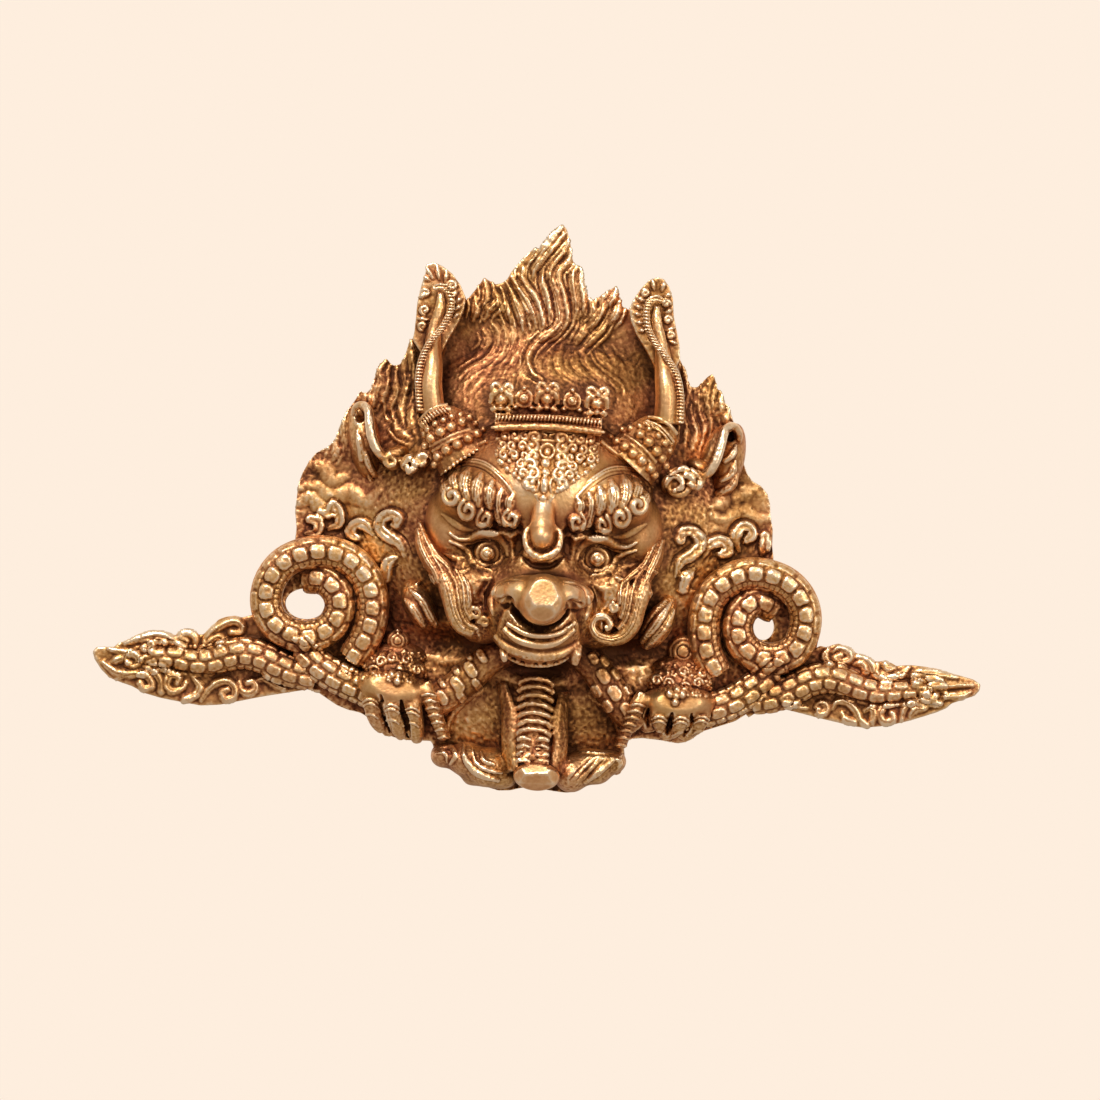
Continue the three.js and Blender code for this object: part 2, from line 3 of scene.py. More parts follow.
import bpy
import numpy as np
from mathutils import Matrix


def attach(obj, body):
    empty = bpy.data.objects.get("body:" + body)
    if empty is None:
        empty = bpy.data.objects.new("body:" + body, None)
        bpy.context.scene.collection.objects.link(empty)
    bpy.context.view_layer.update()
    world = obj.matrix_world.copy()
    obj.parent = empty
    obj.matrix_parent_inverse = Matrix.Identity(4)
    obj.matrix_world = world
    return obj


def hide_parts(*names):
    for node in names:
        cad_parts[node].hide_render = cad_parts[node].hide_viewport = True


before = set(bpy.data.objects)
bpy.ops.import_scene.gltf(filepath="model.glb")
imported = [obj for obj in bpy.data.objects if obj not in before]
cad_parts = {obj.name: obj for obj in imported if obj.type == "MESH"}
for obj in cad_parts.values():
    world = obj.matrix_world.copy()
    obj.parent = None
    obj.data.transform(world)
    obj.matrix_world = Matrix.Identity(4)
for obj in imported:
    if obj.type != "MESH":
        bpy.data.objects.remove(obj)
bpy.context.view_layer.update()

# Camera. The photograph is taken straight from the front with a long lens, and the mask hangs a little
# askew in it, so the camera is rolled and the mask stays upright.
MM = 0.001
CAMERA_DISTANCE = 2.0
FRAME_WIDTH = 0.310
SENSOR = 36.0
FRAME_CENTRE = (2.06 * MM, -47.9 * MM)
ROLL = math.radians(2.8)


def placed(name, data):
    """New object in the scene"""
    item = bpy.data.objects.new(name, data)
    bpy.context.collection.objects.link(item)
    return item


view = bpy.data.cameras.new("camera")
view.sensor_width = SENSOR
view.lens = SENSOR * CAMERA_DISTANCE / FRAME_WIDTH
camera = placed("camera", view)
camera.location = (FRAME_CENTRE[0], -CAMERA_DISTANCE, FRAME_CENTRE[1])
camera.rotation_euler = (math.radians(90), -ROLL, 0)
bpy.context.scene.camera = camera


# Ground. The plate that carries everything else, cast in brass with a sand-rough skin. It swells to a low
# dome behind the head and is hollow there. At its sides it ends in flames, with clouds and rolled scrolls
# cut below them, and it is open in the eyes of the serpent's two coils.

def alone(*pieces):
    """Select these pieces and nothing else, the first one active"""
    bpy.ops.object.select_all(action="DESELECT")
    for piece in pieces:
        piece.select_set(True)
    bpy.context.view_layer.objects.active = pieces[0]


def worked(piece, kind, **settings):
    """Add a modifier to a piece and apply it"""
    alone(piece)
    modifier = piece.modifiers.new(kind.lower(), kind)
    for key, value in settings.items():
        setattr(modifier, key, value)
    bpy.ops.object.modifier_apply(modifier=modifier.name)


def spline(points, step):
    """Close points, in mm, on a smooth line through the given ones"""
    knots = np.array(points, float)
    knots = np.vstack([2 * knots[0] - knots[1], knots, 2 * knots[-1] - knots[-2]])
    line = []
    for a, b, c, d in zip(knots, knots[1:], knots[2:], knots[3:]):
        count = max(1, round(np.linalg.norm(c - b) / step))
        t = (np.arange(count) / count)[:, None]
        line.append(b + 0.5 * t * (c - a + t * (2 * a - 5 * b + 4 * c - d + t * (3 * (b - c) + d - a))))
    return np.vstack(line + [knots[-2:-1]])


def heading(line):
    """Unit direction at each point of a line"""
    ahead = np.gradient(line, axis=0)
    return ahead / np.linalg.norm(ahead, axis=1)[:, None]


def sawn(outline, low, high, holes=()):
    """Plate cut to a ring of x, z points, between two depths in front of the flat back"""
    sheet = bpy.data.curves.new("plate", "CURVE")
    sheet.dimensions = "2D"
    sheet.fill_mode = "BOTH"
    sheet.extrude = (high - low) / 2 * MM
    for ring in (outline, *holes):
        edge = sheet.splines.new("POLY")
        edge.points.add(len(ring) - 1)
        edge.use_cyclic_u = True
        for point, (x, z) in zip(edge.points, ring):
            point.co = (x * MM, z * MM, 0, 1)
    plate = placed("plate", sheet)
    plate.rotation_euler.x = math.radians(90)
    plate.location.y = -(low + high) / 2 * MM
    alone(plate)
    bpy.ops.object.convert(target="MESH")
    bpy.ops.object.transform_apply()
    return bpy.context.object


def skin(piece, voxel):
    """Melt all that is in a piece into one closed skin of even, small faces"""
    worked(piece, "REMESH", mode="VOXEL", voxel_size=voxel * MM, use_smooth_shade=True)


def fuse(name, parts, voxel):
    """Join rough parts into one piece"""
    alone(*parts)
    bpy.ops.object.join()
    piece = bpy.context.object
    piece.name = name
    skin(piece, voxel)
    return piece


# Spacing of the points along a traced line, in mm, and how many points of a surface are traced at a time
TRACE = 0.6
BATCH = 5000
# Share of a line that its taper takes up at each end, cells of the sand's grid, and the plate's thickness
TAPER = 0.35
GRID = 32
PLATE = 3.6
# Profile of a line or spot, from 0 in its middle to 1 at its side
SHAPES = {
    "arched": lambda off: 1 - off ** 2,
    "round": lambda off: np.sqrt(np.clip(1 - off ** 2, 0, 1)),
    "soft": lambda off: (1 - off ** 2) ** 2,
    "flat": lambda off: np.clip(4 * (1 - off), 0, 1),
}


class Wax:
    """A piece while its surface is tooled. Lines are x, z points in mm, seen from the front. Heights go
    to what is added and depths to what is cut, and push() moves the surface by both."""

    def __init__(self, piece):
        self.mesh = piece.data
        self.read()

    def read(self):
        """Note where each point lies, which way it faces and how far it stands out"""
        count = len(self.mesh.vertices)
        place = np.empty(count * 3, np.float32)
        normal = np.empty(count * 3, np.float32)
        self.mesh.vertices.foreach_get("co", place)
        self.mesh.vertex_normals.foreach_get("vector", normal)
        self.place = place.reshape(-1, 3) / MM
        self.normal = normal.reshape(-1, 3)
        self.x = self.place[:, 0]
        self.z = self.place[:, 2]
        self.proud = -self.place[:, 1]
        self.facing = np.clip(-2.2 * self.normal[:, 1], 0, 1)
        self.up = np.zeros(count)
        self.down = np.zeros(count)

    def write(self):
        """Give the moved points back to the mesh"""
        self.mesh.vertices.foreach_set("co", (self.place * MM).astype(np.float32).ravel())
        self.mesh.update()
        self.read()

    def push(self):
        """Move the surface by what was added and cut since the last push"""
        self.place += self.normal * ((self.up - self.down) * self.facing)[:, None]
        self.write()

    def near(self, path, reach):
        """Points within reach of a line: which, how far to its side, how far off and how far along"""
        line = spline(path, TRACE)
        low = line.min(0) - reach
        high = line.max(0) + reach
        inside = (self.x > low[0]) & (self.x < high[0]) & (self.z > low[1]) & (self.z < high[1])
        ahead = heading(line)
        mark = np.concatenate([[0], np.cumsum(np.linalg.norm(np.diff(line, axis=0), axis=1))])
        found = []
        which = np.flatnonzero(inside & (self.facing > 0))
        for part in np.array_split(which, len(which) // BATCH + 1):
            dx = self.x[part, None] - line[:, 0]
            dz = self.z[part, None] - line[:, 1]
            closest = (dx * dx + dz * dz).argmin(1)
            row = np.arange(len(part))
            dx = dx[row, closest]
            dz = dz[row, closest]
            tx, tz = ahead[closest].T
            along = mark[closest] + dx * tx + dz * tz
            side = dx * tz - dz * tx
            off = np.hypot(side, np.maximum(np.maximum(-along, along - mark[-1]), 0))
            close = off < reach
            found.append((part[close], side[close], off[close], np.clip(along[close], 0, mark[-1])))
        return *(np.concatenate(column) for column in zip(*found)), mark[-1]

    def stroke(self, field, path, half, height, ends, shape):
        """Line of this half width that tapers to a share of its size at both ends"""
        where, _, off, along, length = self.near(path, half)
        run = along / length
        taper = np.minimum(1, np.minimum(ends[0] + (1 - ends[0]) * run / TAPER,
                                         ends[1] + (1 - ends[1]) * (1 - run) / TAPER))
        across = np.clip(off / (half * np.maximum(taper, 0.05)), 0, 1)
        field[where] = np.maximum(field[where], height * taper * SHAPES[shape](across))

    def ridge(self, path, half, rise, ends=(0.4, 0.4), shape="arched"):
        """Lay a line on the surface"""
        self.stroke(self.up, path, half, rise, ends, shape)

    def groove(self, path, half, depth, ends=(0.4, 0.4)):
        """Cut a line into the surface"""
        self.stroke(self.down, path, half, depth, ends, "soft")

    def dab(self, field, x, z, half, height, shape):
        """Round spot of this half width"""
        off = np.hypot(self.x - x, self.z - z)
        where = np.flatnonzero(off < half)
        field[where] = np.maximum(field[where], height * SHAPES[shape](off[where] / half))

    def bead(self, x, z, half, rise, shape="arched"):
        """Set a drop on the surface"""
        self.dab(self.up, x, z, half, rise, shape)

    def pit(self, x, z, half, depth):
        """Punch a dent into the surface"""
        self.dab(self.down, x, z, half, depth, "soft")

    def facet(self, x, z, proud, lean_x, lean_z, reach):
        """File a flat onto the surface: a plane through a point that rises by so much per mm"""
        limit = proud + lean_x * (self.x - x) + lean_z * (self.z - z)
        near = (np.hypot(self.x - x, self.z - z) < reach) & (self.proud > limit)
        self.place[near, 1] = -limit[near]
        self.write()

    def links(self):
        """The two ends of every edge, and how many edges meet at each point"""
        ends = np.empty(len(self.mesh.edges) * 2, np.int32)
        self.mesh.edges.foreach_get("vertices", ends)
        return (*ends.reshape(-1, 2).T, np.bincount(ends, minlength=len(self.x))[:, None])

    def mean(self, field, links):
        """Mean of a field of vectors over each point's neighbours"""
        a, b, near = links
        return np.stack([np.bincount(a, field[b, i], len(field)) + np.bincount(b, field[a, i], len(field))
                         for i in range(3)], axis=1) / near

    def away(self, x, z, across, up):
        """How far out in an oval each point lies: 0 in its middle, 1 on its edge, squared"""
        return ((self.x - x) / across) ** 2 + ((self.z - z) / up) ** 2

    def soften(self, x, z, across, up, times):
        """Rub the front smooth inside an oval"""
        give = (np.clip(2 * (1 - self.away(x, z, across, up)), 0, 0.7) * (self.proud > 1))[:, None]
        links = self.links()
        for _ in range(times):
            self.place += give * (self.mean(self.place, links) - self.place)
        self.write()

    def swell(self, x, z, across, up, height):
        """Low dome that stands this high in front of the plate"""
        away = np.clip(self.away(x, z, across, up), 0, 1)
        lift = np.maximum(PLATE + height * (1 - away) ** 1.2 - self.proud, 0)
        self.place[:, 1] -= lift * (self.normal[:, 1] < -0.3)

    def sink(self, x, z, across, up, depth):
        """Smooth hollow this deep in the middle"""
        away = np.clip(self.away(x, z, across, up), 0, 1)
        self.place[:, 1] += depth * (1 - away) ** 2 * (self.normal[:, 1] < -0.3)

    def roughen(self, grain, depth, seed, calm=()):
        """Uneven skin of a sand casting: random heights on a grid of this grain, blended between.
        Burnished places, x, z and half sizes, stay calm."""
        loud = np.ones(len(self.x))
        for place in calm:
            loud = np.minimum(loud, np.clip(2.5 * (self.away(*place) - 0.8), 0.08, 1))
        sand = np.random.default_rng(seed).uniform(-1, 1, (GRID, GRID, GRID))
        for size, height in ((grain, depth), (grain / 2.3, depth / 2)):
            cell = self.place / size
            low = np.floor(cell).astype(int)
            t = cell - low
            t = t * t * (3 - 2 * t)
            for corner in np.ndindex(2, 2, 2):
                share = np.prod(np.where(corner, t, 1 - t), axis=1)
                i, j, k = ((low + corner) % GRID).T
                self.up += loud * height * share * sand[i, j, k]


def oval(x, z, across, up, count=48):
    """Ring of points with these half sizes"""
    turn = [2 * math.pi * i / count for i in range(count)]
    return [(x + across * math.cos(a), z + up * math.sin(a)) for a in turn]


class Sock:
    """A shader socket that can be written in sums"""

    def __init__(self, nodes, socket):
        self.nodes = nodes
        self.socket = socket

    def math(self, operation, *others, clamp=False):
        """Maths node fed by this socket and the others, which may be plain numbers"""
        node = self.nodes.new("ShaderNodeMath")
        node.operation = operation
        node.use_clamp = clamp
        for slot, value in zip(node.inputs, (self, *others)):
            if isinstance(value, Sock):
                self.nodes.id_data.links.new(value.socket, slot)
            else:
                slot.default_value = value
        return Sock(self.nodes, node.outputs[0])

    def __add__(self, other):
        return self.math("ADD", other)

    def __sub__(self, other):
        return self.math("SUBTRACT", other)

    def __mul__(self, other):
        return self.math("MULTIPLY", other)

    __radd__ = __add__

    def __rsub__(self, other):
        return (self * -1) + other

    def clamp(self):
        return self.math("ADD", 0.0, clamp=True)


class Finish:
    """A material built from nodes"""

    def __init__(self, name):
        self.material = bpy.data.materials.new(name)
        self.material.use_nodes = True
        self.tree = self.material.node_tree
        self.shader = self.tree.nodes["Principled BSDF"]

    def node(self, kind, out, settings=(), **inputs):
        """One output of a new node, with its settings made and its inputs fed"""
        node = self.tree.nodes.new(kind)
        for key, value in dict(settings).items():
            if key == "stops":
                ramp = node.color_ramp
                while len(ramp.elements) < len(value):
                    ramp.elements.new(0.5)
                for element, (place, colour) in zip(ramp.elements, value):
                    element.position = place
                    element.color = (*colour, 1)
            else:
                setattr(node, key, value)
        for key, value in inputs.items():
            self.feed(node.inputs[key], value)
        return Sock(self.tree.nodes, node.outputs[out])

    def feed(self, slot, value):
        """Link a socket to this input, or set the input to a plain value"""
        if isinstance(value, Sock):
            self.tree.links.new(value.socket, slot)
        else:
            slot.default_value = value


TARNISH = [
    (0.0, (0.1, 0.038, 0.018)), (0.25, (0.27, 0.108, 0.042)), (0.5, (0.53, 0.262, 0.1)),
    (0.75, (0.78, 0.475, 0.225)), (1.0, (0.92, 0.71, 0.49)),
]
STAINS = [(0.38, (1.0, 0.87, 0.97)), (0.5, (1.0, 1.0, 1.0)), (0.62, (0.94, 0.99, 0.8))]
MIDDLE = 0.5


def brass_finish():
    """Brass from dark brown to polished, by the tone, which holds patina, wear, painted highlight and
    painted shade; olive and purple stains lie on its darker parts
    """
    finish = Finish("aged_brass")
    place = finish.node("ShaderNodeTexCoord", "Object")
    hollow, sunk, rubbed = (finish.node("ShaderNodeAttribute", "Fac", {"attribute_name": name})
                            for name in ("hollow", "sunk", "rubbed"))
    cloud, grain, stain = (
        finish.node("ShaderNodeTexNoise", "Fac", Vector=place, Scale=scale, Detail=detail)
        for scale, detail in ((90.0, 5.0), (900.0, 4.0), (64.0, 3.0)))
    # The tone: patina darkens the hollows, painted shade darkens points below their neighbours, and rubbed
    # high places are brighter, with wear, painted highlight and painted shade from the listed spots
    wear_and_painted_light = 0.46 + rubbed * 0.66 - hollow * 0.6 - sunk * 0.4
    tone = (wear_and_painted_light + (cloud - MIDDLE) * 0.5 + (grain - MIDDLE) * 0.34).clamp()
    metal = finish.node("ShaderNodeValToRGB", "Color", {"stops": TARNISH}, Fac=tone)
    tint = finish.node("ShaderNodeValToRGB", "Color", {"stops": STAINS}, Fac=stain)
    colour = finish.node("ShaderNodeMixRGB", "Color", {"blend_type": "MULTIPLY"},
                         Fac=(1.3 - tone * 1.3).clamp(), Color1=metal, Color2=tint)
    bump = finish.node("ShaderNodeBump", "Normal", Height=grain, Strength=0.35, Distance=0.0004)
    for name, value in (("Base Color", colour), ("Metallic", 1.0), ("Normal", bump),
                        ("Roughness", 0.62 - tone * 0.32 + (grain - MIDDLE) * 0.12)):
        finish.feed(finish.shader.inputs[name], value)
    return finish.material


aged_brass = brass_finish()
BACK_SLACK = 0.25
BACK_THINNED = 0.9


def cast(piece, back):
    """Flatten the back, thin out its faces, and fix the piece to the frame"""
    wax = Wax(piece)
    behind = wax.proud < back + BACK_SLACK
    wax.place[behind, 1] = -back
    wax.write()
    rear = piece.vertex_groups.new(name="back")
    rear.add(np.flatnonzero(behind).tolist(), 1, "REPLACE")
    worked(piece, "DECIMATE", ratio=1 - BACK_THINNED * behind.mean(), vertex_group=rear.name)
    piece.data.materials.clear()
    piece.data.materials.append(aged_brass)
    bpy.ops.object.shade_smooth()
    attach(piece, "root")
    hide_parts("garuda_mask")


HEAD_OPENING = dict(x=0, z=-42, across=25, up=27)
LOWER_EDGE = [
    (60, -91), (56.4, -93.5), (52.9, -94.8), (49.5, -96), (46.4, -97.2), (44.7, -98.9), (42.9, -100),
    (40.6, -100.5), (35.2, -99.8), (30.6, -99.5), (27.2, -99.9), (25.5, -102), (25.9, -104.8),
    (25.8, -107.6), (24.9, -109.8), (23.8, -110.3), (21.9, -109.9), (19.7, -110.3), (18, -111.7),
    (15.2, -113.9), (12.4, -115.6), (9.7, -115.9), (6.3, -115.6), (3, -115.2), (-2.6, -115.1),
    (-5.9, -116), (-9.2, -116.2), (-12.6, -115.3), (-15.3, -113.9), (-18.1, -112.3), (-20.3, -110.7),
    (-23.3, -110.7), (-25.3, -110.3), (-27.3, -108.8), (-28.2, -106.5), (-28, -104.6), (-28.7, -103.2),
    (-30.4, -103.2), (-35.2, -103.3), (-39.1, -102.7), (-41.8, -101.8), (-44.1, -100.4), (-46, -98.7),
    (-47.5, -97), (-49.1, -96.2), (-52.5, -95.6), (-55.6, -94.5), (-58.3, -92.9), (-61, -91.2),
]
RIGHT_EYE = dict(x=63.1, z=-66.6, across=3.0, up=3.7)
LEFT_EYE = dict(x=-65.9, z=-66.4, across=5.7, up=4.3)
LEFT_EDGE = [
    (-80, -72), (-81.1, -68), (-79.5, -61.8), (-77.5, -57.3), (-75.2, -54), (-73.4, -52), (-71.5, -50.7),
    (-69.7, -48.9), (-69.5, -45), (-70.1, -40.5), (-69.8, -35.8), (-69.5, -32.5), (-68.5, -29.5),
    (-66.8, -26.3), (-65, -23.8), (-61.5, -21.8), (-59.8, -19.5), (-58.5, -15.5), (-57, -11.8),
    (-54.8, -8.5), (-53.4, -5.7), (-53, -6), (-51.8, -6.4), (-50.4, -5), (-49.8, -3), (-49, 0), (-48, 2),
    (-46.5, 3.7), (-45, 2), (-43.8, 1.8), (-42.5, 2.3), (-41.3, 4.5), (-40.8, 7), (-39.8, 10),
]
RIGHT_EDGE = [
    (35.6, 8), (36.8, 5.9), (37.8, 4.5), (38.3, 1.5), (39, 0), (40.5, -0.6), (42, 0.5), (44, 3),
    (45.3, 3.7), (46.3, 2), (46.8, -0.3), (48, -1), (49, -4), (50.5, -5.3), (51.3, -8), (52, -10),
    (53.5, -11.8), (54, -15), (55, -20), (56.3, -23.5), (58, -25.8), (60.5, -27), (62.5, -29.3),
    (63.3, -32), (63.6, -35.8), (64.4, -39), (64.5, -43.6), (65.1, -48.4), (67.5, -50), (70.6, -52.3),
    (73.8, -54.8), (76.5, -57.7), (78.1, -60.9), (78.9, -65), (78.8, -69), (78, -74),
]
WING_LOCKS = [
    [(-46.8, 3), (-48.2, 0), (-47.6, -3), (-48.6, -6), (-48, -9.4)],
    [(-45.8, 1.4), (-46, -1.4), (-46, -4.6), (-46.8, -7.6), (-46.2, -10.6)],
    [(-43.6, 1), (-43.6, -2.4), (-43, -6), (-44.4, -9.6), (-43.6, -13)],
    [(-41.6, 3.6), (-41.4, 0), (-40.4, -3.4), (-41, -7), (-41.8, -11), (-40.4, -15)],
    [(-39.8, 9), (-39.4, 5), (-38.8, 1), (-39, -3), (-38.6, -7)],
    [(-50.2, -5.6), (-49.8, -8.4), (-50.6, -10.6)],
    [(-57, -12.5), (-57.6, -16), (-57, -20), (-57.4, -24)],
    [(-54.8, -11), (-55.6, -15), (-55.2, -19.6), (-55.6, -24)],
    [(-59.6, -20), (-59.4, -23), (-61, -26)],
    [(-38.4, -9), (-38.8, -13), (-37.6, -17)],
    [(-44, -14.4), (-41.6, -17), (-38.4, -18.6)],
    [(45.4, 3), (44.2, 0), (43.6, -3.4), (44.4, -6.6), (45.6, -9.8)],
    [(46.2, 0.6), (45.4, -3), (46, -6.4), (47.4, -9)],
    [(42.6, 0.4), (41.8, -3), (42, -7), (43.6, -11), (43.4, -14.6)],
    [(40.4, -1), (39.8, -5), (40.4, -9.4), (41.6, -13.4), (40.6, -17.6)],
    [(37.2, 5), (38.2, 1), (38.6, -3), (37.4, -7), (38.6, -11.6), (38.4, -16)],
    [(48.4, -1.8), (47.8, -5), (48.8, -8.6)],
    [(50.4, -6), (49.6, -8.4), (50.6, -10.6)],
]
CLOUD_BANDS = [
    [(-69.4, -34), (-64, -33.4), (-60, -36), (-55, -34.6), (-50.5, -36.6), (-46.8, -33.6)],
    [(-69.4, -38.6), (-66, -36.6), (-62.4, -38.6), (-58.6, -37.4)],
    [(-66.4, -27), (-62.6, -28.2), (-60, -31.4), (-56, -30)],
    [(63.4, -36), (58.6, -36.4), (54.8, -34.4), (51, -36.8), (46.8, -35.6)],
    [(58.6, -28), (54.4, -30.2), (53.4, -33.4)],
    [(47, -33.4), (49.8, -32), (52.4, -31)],
]
SCROLLS = [
    [(-38.6, -51.4), (-40.2, -48.2), (-43.4, -46.1), (-45.6, -44.1), (-45.2, -41.4), (-42.9, -40.2),
     (-40.6, -41), (-41.5, -43.2)],
    [(-47.9, -45.9), (-50.2, -43.4), (-52.5, -43.4), (-54.3, -45.5), (-52.5, -47)],
    [(-60.6, -45), (-57.7, -43.6), (-57.9, -40.5), (-59.3, -38.4), (-60.6, -40.7), (-62.9, -40.9)],
    [(-66.6, -46.6), (-63.8, -46), (-63.4, -43.4), (-65.6, -42.6)],
    [(-41, -52), (-43.2, -54), (-43.4, -58)],
    [(37.7, -53.6), (38.8, -49.5), (41.5, -47.3), (43.8, -45), (43.4, -42.3), (41.1, -40.7),
     (38.8, -41.1), (38.1, -43.2)],
    [(45.2, -47.7), (46.5, -44.5), (48.8, -43), (51.1, -43.6), (52, -45.9), (50, -46.6)],
    [(55.2, -45.5), (53.8, -42.3), (55.2, -39.1), (57.5, -38.9), (58.6, -41), (57, -42.4)],
    [(61.6, -46.4), (62.4, -43.6), (62.2, -41)],
    [(42.5, -51.4), (40.4, -53.8), (39.6, -57)],
]


def beside(path, gap):
    """The same line, shifted to its right"""
    line = spline(path, 1.5)
    return line + gap * heading(line)[:, ::-1] * (1, -1)


def cut_flames(wax, locks, low, high):
    """Round flutes, faint below one height and bold above another, with thin strands between them"""
    boldness = [np.clip((lock[0][1] - low) / (high - low), 0.3, 1) for lock in locks]
    for lock, bold in zip(locks, boldness):
        wax.ridge(lock, 1.9, 1.5 * bold)
        for gap in (-2, 2):
            wax.ridge(beside(lock, gap), 0.9, 0.8 * bold)
    wax.push()
    for lock, bold in zip(locks, boldness):
        wax.groove(beside(lock, 0.5), 0.32, 0.3 * bold)
        for gap in (-1.5, 1.6):
            wax.groove(beside(lock, gap), 0.3, 0.35 * bold)
    wax.roughen(0.8, 0.14, 2)
    wax.push()


outline = LEFT_EDGE + [(-34, -9), (34, -9)] + RIGHT_EDGE + LOWER_EDGE
openings = [oval(**HEAD_OPENING), oval(**LEFT_EYE), oval(**RIGHT_EYE)]
ground = fuse("ground", [sawn(outline, 0, PLATE, openings)], 0.4)
wax = Wax(ground)
wax.swell(0, -40, 56, 48, 19)
wax.swell(0, -88, 52, 26, 6)
wax.write()
wax.sink(0, -81.4, 13, 5, 5)
for side in (-1, 1):
    wax.sink(24.5 * side, -75, 13, 6, 4.5)
wax.write()
cut_flames(wax, WING_LOCKS, -60, 20)
for band in CLOUD_BANDS:
    wax.ridge(band, 3, 0.9)
for scroll in SCROLLS:
    wax.ridge(scroll, 2, 1.7, ends=(0.3, 0.8), shape="flat")
wax.roughen(0.9, 0.16, 1, calm=[(-57, -37, 9, 12), (55, -37, 8, 12)])
wax.push()
for scroll in SCROLLS:
    wax.groove(scroll, 0.7, 0.35)
    for gap in (-2.2, 2.2):
        wax.groove(beside(scroll, gap), 0.5, 0.5)
wax.push()
cast(ground, 0)


# Flame crest. The plate above the head is sawn to flame tips, and the locks of fire are cut into the wax
# as long wavy flutes that run down from each tip and spread behind the crown.
CREST_EDGE = [
    (-31, 20), (-26, 20.6), (-24.7, 21.2), (-22.5, 24.2), (-20.1, 27.7), (-18.4, 26.8), (-16.8, 26),
    (-15.2, 26.4), (-13.8, 27.4), (-12.5, 29.9), (-9.7, 33.7), (-6.8, 36.4), (-4.7, 36.5), (-2.9, 38.7),
    (-0.6, 42.4), (1.2, 43.7), (2.3, 42.6), (3.5, 39.2), (4.1, 35.1), (5, 32.5), (6.6, 32.5), (7.5, 30.5),
    (8.2, 26.5), (9.1, 23.5), (10.7, 22.9), (13.5, 24.6), (17.1, 27.3), (17.8, 24.6), (18.9, 21.7),
    (20, 20.9), (24, 20.4), (28, 18), (34.6, 9), (36.4, 6), (37.6, 1), (36, -8), (30, -14), (-30, -14),
    (-36, -8), (-39, 0), (-39.7, 9.4), (-37, 13),
]
